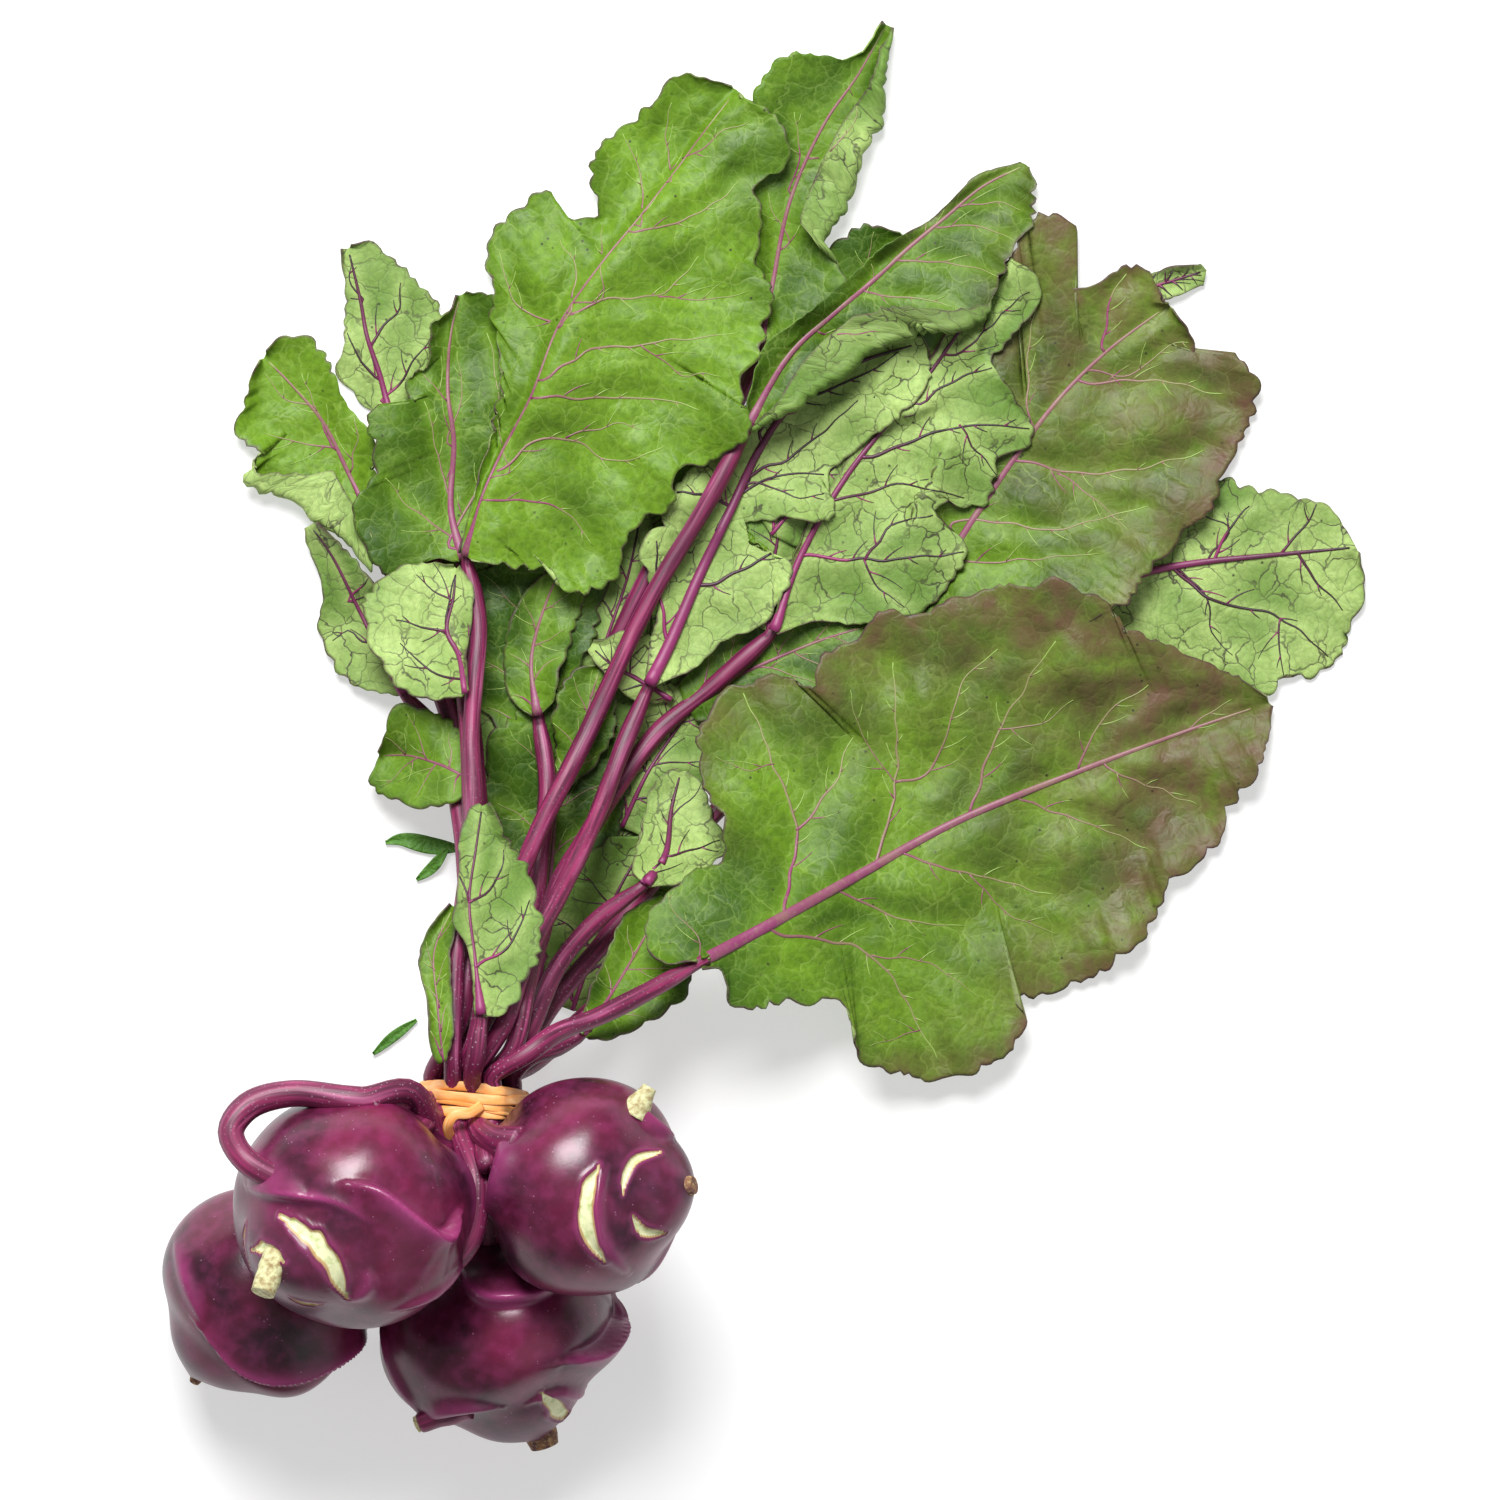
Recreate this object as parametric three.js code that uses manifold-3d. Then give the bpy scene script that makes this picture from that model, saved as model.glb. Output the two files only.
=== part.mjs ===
// A bunch of four purple kohlrabi, tied by an orange rubber band, lying on a table.
//
// Millimetres, +Z up. Two bulbs carry the bunch and two lie on top of them; every leaf stalk runs
// through the band, and the blades lie over one another on the table. The layout is drawn in plan,
// +X to the right and +Y toward the leaf tips, and the heights follow from laying the pieces down
// one after another, lowest first. The group stands on z = 0 with its origin under the middle.

import * as THREE from 'three';
import { LoftGeometry } from 'three/addons/geometries/LoftGeometry.js';
import { mergeVertices } from 'three/addons/utils/BufferGeometryUtils.js';
import Module from 'manifold-3d';

const wasm = await Module();
wasm.setup();

// ---- driving dimensions -------------------------------------------------------------------

const GAP = 0.5; // clear space between a stalk and the pieces under it
const SHEET_GAP = 0.6; // the same under a blade
const BLADE_THICKNESS = 1.3; // at the midrib
const MARGIN_THICKNESS = 0.8;
const ROW_STEP = 17; // spacing of a blade's cross sections
const FEWEST_ROWS = 6;
const MOST_ROWS = 12;
const STALK_SIDES = 8;
const STALK_STEP = 9; // spacing of a stalk's cross sections
const FEWEST_STEPS = 8; // along a short stalk
const STALK_RADIUS = 2.6; // where it leaves the bulb
const STALK_TIP_RADIUS = 2.1; // where the blade starts
const STALK_END_GAP = 1.4; // from a stalk's end to its blade
const TIE = new THREE.Vector3(-93, -115, 62); // centre of the bundle in the band
const STALK_PITCH = 6.2; // between neighbouring stalks in the band
const STALK_TAILS = [28, 28, 10, 10]; // length below the band of a cut stalk, by its row there
const BAND_WIDTH = 9; // of the turns of the band together
const BAND_THICKNESS = 1.6;
const BAND_CLEARANCE = 0.9; // from the outermost stalks to the band
const BAND_SIDES = 24;
const CELL = 1; // of the height map
const TABLE_HALF_WIDTH = 210; // of the height map, along X
const TABLE_HALF_LENGTH = 250; // and along Y
const SAG = 0.5; // how far a free point of a stalk or blade hangs below its neighbours' mean
const RELAX_ROUNDS = 160;
const CLEAR_ROUNDS = 6;

// ---- finishes -----------------------------------------------------------------------------

function finish(color, roughness) {
  return new THREE.MeshStandardMaterial({ color, roughness, metalness: 0 });
}

const SKIN = finish(0x6b1f4a, 0.4);
const STALK_SKIN = finish(0x8e2f63, 0.45);
const LEAF_UPPER = finish(0x5f8a2e, 0.55);
const LEAF_UNDER = finish(0x9fbf7a, 0.65);
const RUBBER = finish(0xf2a44e, 0.5);
const WEED = finish(0x4f7a2c, 0.6);

// ---- layout -------------------------------------------------------------------------------

// centre; direction from the root to the crown; radius across and half length along that
// direction; squash is the height over the width
const BULBS = [
  {
    name: 'bulb_front_left',
    centre: [-160, -177, 30.9],
    crown: [0.66, 0.74, 0.12],
    radius: 34,
    half: 33,
    squash: 0.92,
  },
  {
    name: 'bulb_front_middle',
    centre: [-86, -189, 34.4],
    crown: [-0.37, 0.93, 0.05],
    radius: 38,
    half: 33,
    squash: 0.92,
  },
  {
    name: 'bulb_top_left',
    centre: [-132, -150, 89],
    crown: [0.62, 0.48, -0.62],
    radius: 38.5,
    half: 37,
    squash: 0.92,
  },
  {
    name: 'bulb_top_right',
    centre: [-56, -142, 77],
    crown: [-0.93, 0, -0.37],
    radius: 35,
    half: 32,
    squash: 0.94,
  },
];

// Leaves from the lowest to the highest. midrib, left and right run from the base to the tip, and
// left is seen looking from the base to the tip. under: the pale side is up. tent: height of the
// midrib over the margins. curl: a margin rolled up and over, with its radius and the width
// turned over. The stalk passes the band at slot [column, row] and goes on through the points in
// to; below the band it comes through the points in from, or straight from a bulb out of sight.
// rise: how much higher it leaves the band than it went in, if it isn't the usual fan.
const LEAVES = [
  {
    name: 'behind_top',
    midrib: [[11, 131], [26, 144], [37, 155], [45, 162]],
    left: [[10, 132], [15, 146], [23, 162], [31, 166], [43, 163]],
    right: [[12, 130], [27, 137], [37, 150], [46, 160]],
  },
  {
    name: 'far_right',
    under: true,
    midrib: [[107, 48], [123, 54], [139, 57], [158, 59], [190, 62]],
    left: [[107, 49], [110, 58], [128, 67], [146, 84], [158, 81], [174, 78], [182, 74], [189, 64]],
    right: [
      [108, 47], [117, 32], [139, 19], [162, 14], [168, 20], [174, 19], [186, 29], [188, 38],
      [192, 45], [191, 60],
    ],
    stalk: { slot: [4, 0], to: [[-74, -103], [-46, -78], [-2, -42], [53, 2]] },
  },
  {
    name: 'mid_right',
    midrib: [[45, 32], [59, 58], [75, 83], [94, 109], [110, 125], [130, 140]],
    left: [
      [43, 32], [43, 58], [56, 90], [70, 122], [78, 144], [84, 166], [94, 169], [100, 165],
      [95, 157], [98, 144], [106, 148], [113, 151], [123, 150], [128, 141],
    ],
    right: [
      [46, 31], [62, 32], [91, 35], [115, 44], [128, 59], [144, 77], [150, 89], [155, 101],
      [158, 114], [151, 124], [141, 123], [138, 128], [131, 138],
    ],
    stalk: { slot: [3, 0], to: [[-80, -102], [-67, -83], [-51, -64], [-27, -35], [8, 0]] },
  },
  {
    name: 'top_tip',
    midrib: [[-2, 124], [2, 144], [8, 173], [19, 198], [30, 214], [39, 230]],
    left: [
      [-3, 124], [-2, 141], [-3, 157], [-4, 173], [-4, 189], [-4, 205], [3, 218], [8, 220],
      [26, 219], [31, 221], [38, 231],
    ],
    right: [
      [0, 123], [8, 128], [22, 141], [25, 146], [21, 161], [27, 176], [35, 194], [38, 211],
      [41, 229],
    ],
    curl: { side: 'right', radius: 2.5, flap: [[0.35, 0], [0.5, 20], [0.72, 16], [0.85, 6], [1, 0]] },
    stalk: { slot: [2, 0], to: [[-85, -86], [-78, -51], [-64, -6], [-43, 42], [-18, 90]] },
  },
  {
    name: 'top_left',
    under: true,
    midrib: [[-118, 99], [-121, 107], [-124, 118], [-128, 130], [-130, 141], [-134, 158]],
    left: [
      [-120, 99], [-127, 106], [-133, 111], [-138, 120], [-136, 125], [-135, 141], [-136, 153],
      [-136, 158],
    ],
    right: [
      [-116, 99], [-110, 107], [-104, 125], [-104, 139], [-112, 147], [-116, 151], [-126, 160],
      [-133, 159],
    ],
    stalk: { slot: [1, 0], to: [[-94, -90], [-92, -51], [-92, -19], [-96, 16], [-107, 58]] },
  },
  {
    name: 'far_left',
    midrib: [[-126, 70], [-134, 86], [-142, 102], [-152, 114], [-161, 123]],
    left: [
      [-126, 54], [-136, 65], [-149, 75], [-161, 80], [-167, 85], [-162, 93], [-169, 99],
      [-167, 112], [-162, 122],
    ],
    right: [
      [-124, 75], [-126, 93], [-128, 101], [-135, 110], [-141, 120], [-146, 130], [-156, 129],
      [-160, 125],
    ],
    curl: { side: 'left', radius: 2, flap: [[0, 22], [0.25, 18], [0.5, 5], [0.6, 0]] },
    stalk: { slot: [0, 0], to: [
      [-101, -99], [-98, -83], [-95, -51], [-95, -19], [-101, 6], [-112, 35],
    ] },
  },
  {
    name: 'low_left',
    under: true,
    midrib: [[-116, 15], [-124, 29], [-132, 45], [-139, 59], [-146, 69]],
    left: [
      [-118, 14], [-125, 15], [-136, 21], [-143, 32], [-142, 45], [-144, 54], [-147, 62],
      [-148, 68],
    ],
    right: [[-114, 16], [-116, 32], [-121, 45], [-132, 58], [-144, 70]],
    stalk: { slot: [1, 1], to: [[-96, -93], [-95, -61], [-97, -29], [-104, 0]] },
  },
  {
    name: 'small_left',
    midrib: [[-96, -12], [-104, -8], [-114, -5], [-124, -5]],
    left: [[-96, -13], [-97, -19], [-107, -21], [-122, -20], [-127, -14], [-125, -7]],
    right: [[-96, -10], [-97, 2], [-107, 9], [-118, 11], [-122, 2], [-124, -4]],
  },
  {
    name: 'mid_left',
    midrib: [[-97, 58], [-101, 74], [-100, 96], [-102, 112], [-101, 131], [-98, 143]],
    left: [
      [-99, 57], [-107, 58], [-118, 52], [-124, 53], [-132, 75], [-126, 83], [-125, 90],
      [-128, 102], [-126, 106], [-115, 107], [-115, 116], [-108, 120], [-107, 134], [-101, 138],
      [-99, 143],
    ],
    right: [[-95, 58], [-90, 70], [-85, 90], [-83, 109], [-84, 128], [-86, 142], [-96, 144]],
    stalk: { slot: [0, 1], from: [[-118, -110, 82], [-112, -119, 70], [-108, -124, 63]], to: [
      [-96, -86], [-94, -51], [-94, -19], [-96, 13], [-98, 35],
    ] },
  },
  {
    name: 'under_right',
    midrib: [[-58, -94], [-49, -81], [-39, -64], [-32, -51]],
    left: [[-59, -93], [-57, -83], [-52, -72], [-45, -56], [-34, -49]],
    right: [[-56, -95], [-49, -95], [-37, -90], [-27, -83], [-23, -72], [-26, -59], [-30, -52]],
    stalk: { slot: [4, 1], from: [[-81, -125, 59]], to: [[-75, -101], [-66, -98]] },
  },
  {
    name: 'small_right',
    under: true,
    midrib: [[-38, -46], [-32, -37], [-30, -22], [-27, -10]],
    left: [[-40, -45], [-43, -42], [-40, -29], [-36, -16], [-31, -10], [-28, -9]],
    right: [[-37, -47], [-24, -45], [-12, -35], [-17, -23], [-21, -13], [-25, -10]],
    stalk: { slot: [3, 1], to: [[-77, -96], [-66, -72], [-53, -57]] },
  },
  {
    name: 'inner_mid',
    midrib: [[-66, -16], [-59, 0], [-56, 13], [-53, 23]],
    left: [[-67, -16], [-68, 0], [-66, 16], [-61, 23], [-54, 24]],
    right: [[-64, -16], [-56, -10], [-50, 0], [-48, 11], [-51, 23]],
  },
  {
    name: 'small_mid',
    tent: 5,
    midrib: [[-73, 8], [-75, 26], [-70, 45], [-66, 54]],
    left: [[-75, 8], [-82, 14], [-84, 27], [-79, 45], [-72, 53], [-67, 55]],
    right: [[-72, 8], [-68, 13], [-65, 24], [-59, 42], [-58, 48], [-64, 54]],
    stalk: { slot: [2, 1], to: [[-81, -86], [-75, -61], [-72, -38], [-70, -13]] },
  },
  {
    name: 'fold_right',
    under: true,
    midrib: [[3, 35], [11, 58], [27, 86], [53, 118], [70, 142], [80, 154]],
    left: [[2, 35], [9, 59], [25, 88], [51, 120], [68, 144], [79, 155]],
    right: [
      [4, 34], [16, 38], [37, 38], [53, 43], [65, 58], [56, 74], [70, 77], [78, 89], [85, 99],
      [80, 114], [72, 121], [78, 128], [89, 144], [86, 151], [82, 153],
    ],
    stalk: {
      slot: [3, 2],
      rise: 3.2,
      to: [[-80, -98], [-75, -75], [-67, -48], [-58, -32], [-46, -13], [-34, 3], [-17, 17]],
    },
  },
  {
    name: 'pale_mid',
    under: true,
    midrib: [[-30, 13], [-40, 19], [-49, 24], [-56, 30]],
    left: [[-30, 12], [-40, 12], [-46, 16], [-53, 23], [-57, 29]],
    right: [[-29, 14], [-35, 26], [-37, 32], [-46, 35], [-55, 32]],
  },
  {
    name: 'pale_centre',
    under: true,
    midrib: [[-37, 18], [-31, 30], [-21, 53], [-11, 74], [-2, 93], [8, 107], [27, 120], [51, 128]],
    left: [
      [-38, 19], [-37, 32], [-35, 42], [-38, 62], [-35, 70], [-27, 83], [-14, 96], [-2, 112],
      [18, 124], [50, 130],
    ],
    right: [
      [-36, 17], [-24, 23], [-8, 34], [3, 42], [10, 53], [-6, 66], [-5, 71], [16, 69], [22, 72],
      [19, 86], [26, 91], [38, 98], [45, 107], [53, 117], [52, 126],
    ],
    stalk: {
      slot: [2, 2],
      from: [[-90, -135, 61]],
      to: [[-83, -90], [-76, -69], [-66, -50], [-55, -27], [-45, -1]],
    },
  },
  {
    name: 'top_right',
    midrib: [[-6, 100], [8, 124], [22, 137], [34, 147], [46, 158], [58, 168], [70, 178], [84, 185]],
    left: [
      [-7, 101], [-4, 114], [-1, 125], [8, 133], [22, 144], [34, 155], [43, 162], [53, 167],
      [62, 176], [67, 181], [82, 186],
    ],
    right: [
      [-4, 99], [8, 106], [21, 114], [30, 122], [43, 129], [62, 132], [70, 135], [75, 147],
      [83, 162], [87, 178], [85, 184],
    ],
    curl: { side: 'right', radius: 2.5, flap: [[0, 4], [0.2, 18], [0.45, 12], [0.55, 8], [0.66, 0]] },
    stalk: {
      slot: [1, 2],
      to: [[-93, -99], [-87, -70], [-75, -35], [-58, 0], [-37, 45], [-18, 77]],
    },
  },
  {
    name: 'bright_centre',
    tent: 9,
    midrib: [
      [-96, 59], [-91, 77], [-85, 91], [-75, 110], [-66, 133], [-53, 152], [-40, 168],
      [-30, 181], [-22, 192], [-9, 209],
    ],
    left: [
      [-98, 60], [-94, 77], [-89, 93], [-85, 109], [-86, 128], [-88, 143], [-89, 160],
      [-82, 169], [-70, 175], [-61, 168], [-54, 168], [-56, 186], [-53, 192], [-35, 205],
      [-34, 210], [-21, 213], [-11, 210],
    ],
    right: [
      [-94, 58], [-85, 56], [-70, 55], [-59, 47], [-48, 53], [-42, 67], [-30, 77], [-26, 86],
      [-6, 96], [-5, 102], [-8, 109], [-3, 122], [0, 131], [2, 147], [-2, 155], [-2, 168],
      [-2, 179], [6, 184], [8, 190], [3, 201], [-8, 207],
    ],
    stalk: {
      slot: [1, 3],
      from: [
        [-147, -143, 125.5], [-159, -138, 118], [-169, -131, 110], [-173, -122, 102],
        [-167, -113, 98], [-152, -108, 98], [-133, -109, 100], [-122, -110, 99],
        [-112, -112, 89], [-108, -118, 80], [-105, -125, 74], [-100, -128, 71],
      ],
      to: [[-99, -86], [-98, -67], [-94, -38], [-93, -19], [-94, 0], [-93, 19], [-92, 38]],
    },
  },
  {
    name: 'lobe_left',
    under: true,
    midrib: [[-96, 15], [-98, 27], [-102, 35], [-100, 45], [-99, 55]],
    left: [
      [-97, 14], [-109, 13], [-119, 19], [-126, 32], [-130, 45], [-123, 52], [-110, 57],
      [-100, 56],
    ],
    right: [[-95, 16], [-96, 27], [-94, 38], [-93, 48], [-98, 56]],
  },
  {
    name: 'low_right',
    midrib: [[-21, -71], [-2, -61], [27, -45], [62, -26], [101, -10], [133, 2], [162, 12]],
    left: [
      [-22, -70], [-35, -70], [-38, -59], [-32, -50], [-22, -42], [-12, -35], [-17, -19],
      [-22, -2], [-13, 16], [8, 20], [15, 15], [18, 26], [27, 30], [35, 40], [51, 42], [59, 46],
      [75, 49], [102, 48], [117, 36], [136, 29], [149, 22], [161, 14],
    ],
    right: [
      [-20, -73], [-14, -73], [-10, -85], [21, -83], [27, -85], [32, -102], [50, -109],
      [65, -109], [84, -92], [79, -83], [94, -80], [120, -66], [131, -46], [146, -33],
      [149, -22], [160, -6], [163, 11],
    ],
    stalk: { slot: [3, 3], rise: 2.6, from: [[-88, -135, 97], [-89.5, -129, 77.5]], to: [
      [-76, -100], [-66, -93], [-53, -88], [-37, -80],
    ] },
  },
  {
    name: 'front_curl',
    midrib: [[-102, -102], [-104, -83], [-105, -67], [-99, -53]],
    left: [[-104, -103], [-106, -98], [-107, -83], [-110, -70], [-106, -59], [-100, -52]],
    right: [[-101, -102], [-99, -93], [-99, -83], [-100, -67], [-97, -54], [-98, -52]],
  },
  {
    name: 'front_pale',
    under: true,
    tent: 4,
    midrib: [[-90, -87], [-92, -70], [-94, -51], [-92, -35], [-90, -21]],
    left: [[-92, -87], [-94, -67], [-99, -58], [-97, -42], [-97, -29], [-94, -22], [-91, -20]],
    right: [
      [-89, -88], [-85, -87], [-75, -78], [-72, -51], [-75, -42], [-83, -29], [-86, -22],
      [-88, -20],
    ],
    stalk: { slot: [2, 3], rise: 5, to: [[-92, -102]] },
  },
];

// Weed leaves caught in the bunch: a midrib and the half width in the middle.
const WEEDS = [
  { name: 'weed_spoon', midrib: [[-122, -33], [-117, -32], [-107, -34], [-97, -35]], half: 2.8 },
  { name: 'weed_strip_upper', midrib: [[-112, -45], [-107, -41], [-102, -35]], half: 1.8 },
  { name: 'weed_strip_lower', midrib: [[-126, -101], [-119, -95], [-112, -90]], half: 1.6 },
];

// ---- the surface that pieces are laid on --------------------------------------------------

// Height of the highest thing laid so far, on a square grid over the table.
class HeightMap {
  constructor(minX, minY, maxX, maxY) {
    this.minX = minX;
    this.minY = minY;
    this.columns = Math.ceil((maxX - minX) / CELL);
    this.rows = Math.ceil((maxY - minY) / CELL);
    this.heights = new Float32Array(this.columns * this.rows);
  }

  cell(x, y) {
    const column = THREE.MathUtils.clamp(Math.floor((x - this.minX) / CELL), 0, this.columns - 1);
    const row = THREE.MathUtils.clamp(Math.floor((y - this.minY) / CELL), 0, this.rows - 1);
    return row * this.columns + column;
  }

  raise(point) {
    const index = this.cell(point.x, point.y);
    this.heights[index] = Math.max(this.heights[index], point.z);
  }

  at(x, y) {
    return this.heights[this.cell(x, y)];
  }

  // Lowest height for the centre of a ball of this radius over (x, y).
  restOf(x, y, radius) {
    let highest = radius;
    const reach = Math.ceil(radius / CELL) * CELL;
    for (let dx = -reach; dx <= reach; dx += CELL) {
      for (let dy = -reach; dy <= reach; dy += CELL) {
        const flat = Math.hypot(dx, dy);
        if (flat < radius) {
          const rise = Math.sqrt(radius * radius - flat * flat);
          highest = Math.max(highest, this.at(x + dx, y + dy) + rise);
        }
      }
    }
    return highest;
  }

  // Highest thing within this distance of (x, y).
  highestWithin(x, y, reach) {
    let highest = 0;
    for (let dx = -reach; dx <= reach; dx += CELL) {
      for (let dy = -reach; dy <= reach; dy += CELL) {
        if (Math.hypot(dx, dy) <= reach) highest = Math.max(highest, this.at(x + dx, y + dy));
      }
    }
    return highest;
  }
}

const table = new HeightMap(
  -TABLE_HALF_WIDTH, -TABLE_HALF_LENGTH, TABLE_HALF_WIDTH, TABLE_HALF_LENGTH,
);

// Calls visit with points spread over a triangle, no more than half a cell apart.
function visitTriangle(a, b, c, visit) {
  const longest = Math.max(a.distanceTo(b), b.distanceTo(c), c.distanceTo(a));
  const steps = Math.max(1, Math.ceil((2 * longest) / CELL));
  for (let i = 0; i <= steps; i += 1) {
    for (let j = 0; j <= steps - i; j += 1) {
      const weights = [i / steps, j / steps, 1 - (i + j) / steps];
      const point = new THREE.Vector3()
        .addScaledVector(a, weights[0])
        .addScaledVector(b, weights[1])
        .addScaledVector(c, weights[2]);
      visit(point, weights);
    }
  }
}

// Marks everything under a laid piece as taken.
function layOnTable(geometry) {
  const position = geometry.getAttribute('position');
  const corner = (k) => {
    const vertex = geometry.index ? geometry.index.getX(k) : k;
    return new THREE.Vector3().fromBufferAttribute(position, vertex);
  };
  const count = geometry.index ? geometry.index.count : position.count;
  for (let k = 0; k < count; k += 3) {
    visitTriangle(corner(k), corner(k + 1), corner(k + 2), (point) => table.raise(point));
  }
}

// ---- shared geometry ----------------------------------------------------------------------

function planCurve(points) {
  const vectors = points.map(([x, y, z = 0]) => new THREE.Vector3(x, y, z));
  return new THREE.CatmullRomCurve3(vectors, false, 'centripetal');
}

function closedLoft(sections) {
  return new LoftGeometry(sections, { closed: true, capStart: true, capEnd: true });
}

// Value at t of the straight lines through the knots [t, value].
function alongKnots(knots, t) {
  if (t <= knots[0][0]) return knots[0][1];
  for (let k = 1; k < knots.length; k += 1) {
    const [t0, v0] = knots[k - 1];
    const [t1, v1] = knots[k];
    if (t <= t1) return THREE.MathUtils.mapLinear(t, t0, t1, v0, v1);
  }
  return knots[knots.length - 1][1];
}

function toSolid(geometry) {
  const bare = geometry.clone();
  bare.deleteAttribute('normal');
  bare.deleteAttribute('uv');
  const merged = mergeVertices(bare, 1e-3);
  return new wasm.Manifold(new wasm.Mesh({
    numProp: 3,
    vertProperties: merged.getAttribute('position').array,
    triVerts: new Uint32Array(merged.index.array),
  }));
}

function fromSolid(solid) {
  const mesh = solid.getMesh();
  const geometry = new THREE.BufferGeometry();
  geometry.setAttribute('position', new THREE.BufferAttribute(mesh.vertProperties, 3));
  geometry.setIndex(new THREE.BufferAttribute(mesh.triVerts, 1));
  geometry.computeVertexNormals();
  return geometry;
}

// ---- bulbs --------------------------------------------------------------------------------

const BULB_RINGS = 14;
const BULB_SEGMENTS = 20;
const ROOT_RADIUS = 5;
const ROOT_END_RADIUS = 4;
const ROOT_LENGTH = 5; // past the round of the bulb
const SLAB_RADIUS = 32; // of the block that is cut away under the table
const SLAB_DEPTH = 40;
const SLAB_SIDES = 24;

// Half outline from the root stub to the crown, turned about the root-to-crown line.
function bulbProfile({ radius, half }) {
  const start = Math.asin(ROOT_RADIUS / radius);
  const profile = [
    new THREE.Vector2(0, -half - ROOT_LENGTH),
    new THREE.Vector2(ROOT_END_RADIUS, -half - ROOT_LENGTH),
  ];
  for (let k = 0; k < BULB_RINGS; k += 1) {
    const angle = THREE.MathUtils.lerp(start, Math.PI, k / BULB_RINGS);
    profile.push(new THREE.Vector2(radius * Math.sin(angle), -half * Math.cos(angle)));
  }
  profile.push(new THREE.Vector2(0, half));
  return profile;
}

function bulbGeometry(bulb) {
  const geometry = new THREE.LatheGeometry(bulbProfile(bulb), BULB_SEGMENTS);
  const up = new THREE.Vector3(0, 1, 0);
  const crown = new THREE.Vector3(...bulb.crown).normalize();
  geometry.applyQuaternion(new THREE.Quaternion().setFromUnitVectors(up, crown));
  geometry.scale(1, 1, bulb.squash);
  geometry.translate(...bulb.centre);
  return geometry;
}

// Cuts off what would be under the table, and presses a flat spot round the lowest point.
function restOnTable(geometry, bulb) {
  const [x, y] = bulb.centre;
  const slab = new THREE.CylinderGeometry(SLAB_RADIUS, SLAB_RADIUS, SLAB_DEPTH, SLAB_SIDES);
  slab.rotateX(Math.PI / 2);
  slab.translate(x, y, -SLAB_DEPTH / 2);
  return fromSolid(toSolid(geometry).subtract(toSolid(slab)));
}

function makeBulb(bulb) {
  const rounded = bulbGeometry(bulb);
  rounded.computeBoundingBox();
  const geometry = rounded.boundingBox.min.z < 0 ? restOnTable(rounded, bulb) : rounded;
  layOnTable(geometry);
  return new THREE.Mesh(geometry, SKIN);
}

// ---- stalks -------------------------------------------------------------------------------

const TAIL_DROPS = [8, 8, 0, 0]; // how much lower a tail ends, by its row in the band
const SLOPE_ROOM = 0.5; // more clear height for a sloping stalk
const TIE_STATIONS = [-0.6 * BAND_WIDTH, 0.6 * BAND_WIDTH, 0.9 * BAND_WIDTH];
const FAN_RISE = 0.8; // of each row past the band, over the row below it
const MIDDLE_COLUMN = 2; // of the bundle in the band
const MIDDLE_ROW = 1.5;
const STRETCH_STEP = 0.1; // share of a stretch between the places where its height is tried

function slotPoint([column, row]) {
  const right = (column - MIDDLE_COLUMN) * STALK_PITCH;
  const up = (row - MIDDLE_ROW) * STALK_PITCH;
  return TIE.clone().add(new THREE.Vector3(right, 0, up));
}

// Heights along a stalk: over the band as given, then a springy stalk coming down to the table.
function settleStalk(points, radii, firstFree) {
  const least = points.map((point, k) => table.restOf(point.x, point.y, radii[k] + GAP));
  // A section also carries what the stretches on either side of it need.
  for (let k = firstFree - 1; k + 1 < points.length; k += 1) {
    for (let share = STRETCH_STEP; share < 1; share += STRETCH_STEP) {
      const between = points[k].clone().lerp(points[k + 1], share);
      const need = table.restOf(between.x, between.y, radii[k] + GAP) + SLOPE_ROOM;
      least[k] = Math.max(least[k], need);
      least[k + 1] = Math.max(least[k + 1], need);
    }
  }
  const heights = points.map((point, k) => (k < firstFree ? point.z : least[k]));
  for (let round = 0; round < RELAX_ROUNDS; round += 1) {
    for (let k = firstFree; k < points.length; k += 1) {
      const ahead = 2 * heights[k - 1] - heights[k - 2] - 2 * SAG;
      const next = k + 1 < points.length ? heights[k + 1] : ahead;
      heights[k] = Math.max(least[k], (heights[k - 1] + next) / 2 - SAG);
    }
  }
  return points.map((point, k) => new THREE.Vector3(point.x, point.y, heights[k]));
}

function ringAround(centre, tangent, radius) {
  const side = new THREE.Vector3(tangent.y, -tangent.x, 0).normalize();
  const over = new THREE.Vector3().crossVectors(side, tangent).normalize();
  return Array.from({ length: STALK_SIDES }, (_, k) => {
    const angle = (-2 * Math.PI * (k + 0.5)) / STALK_SIDES;
    return centre.clone()
      .addScaledVector(side, radius * Math.cos(angle))
      .addScaledVector(over, radius * Math.sin(angle));
  });
}

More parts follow.
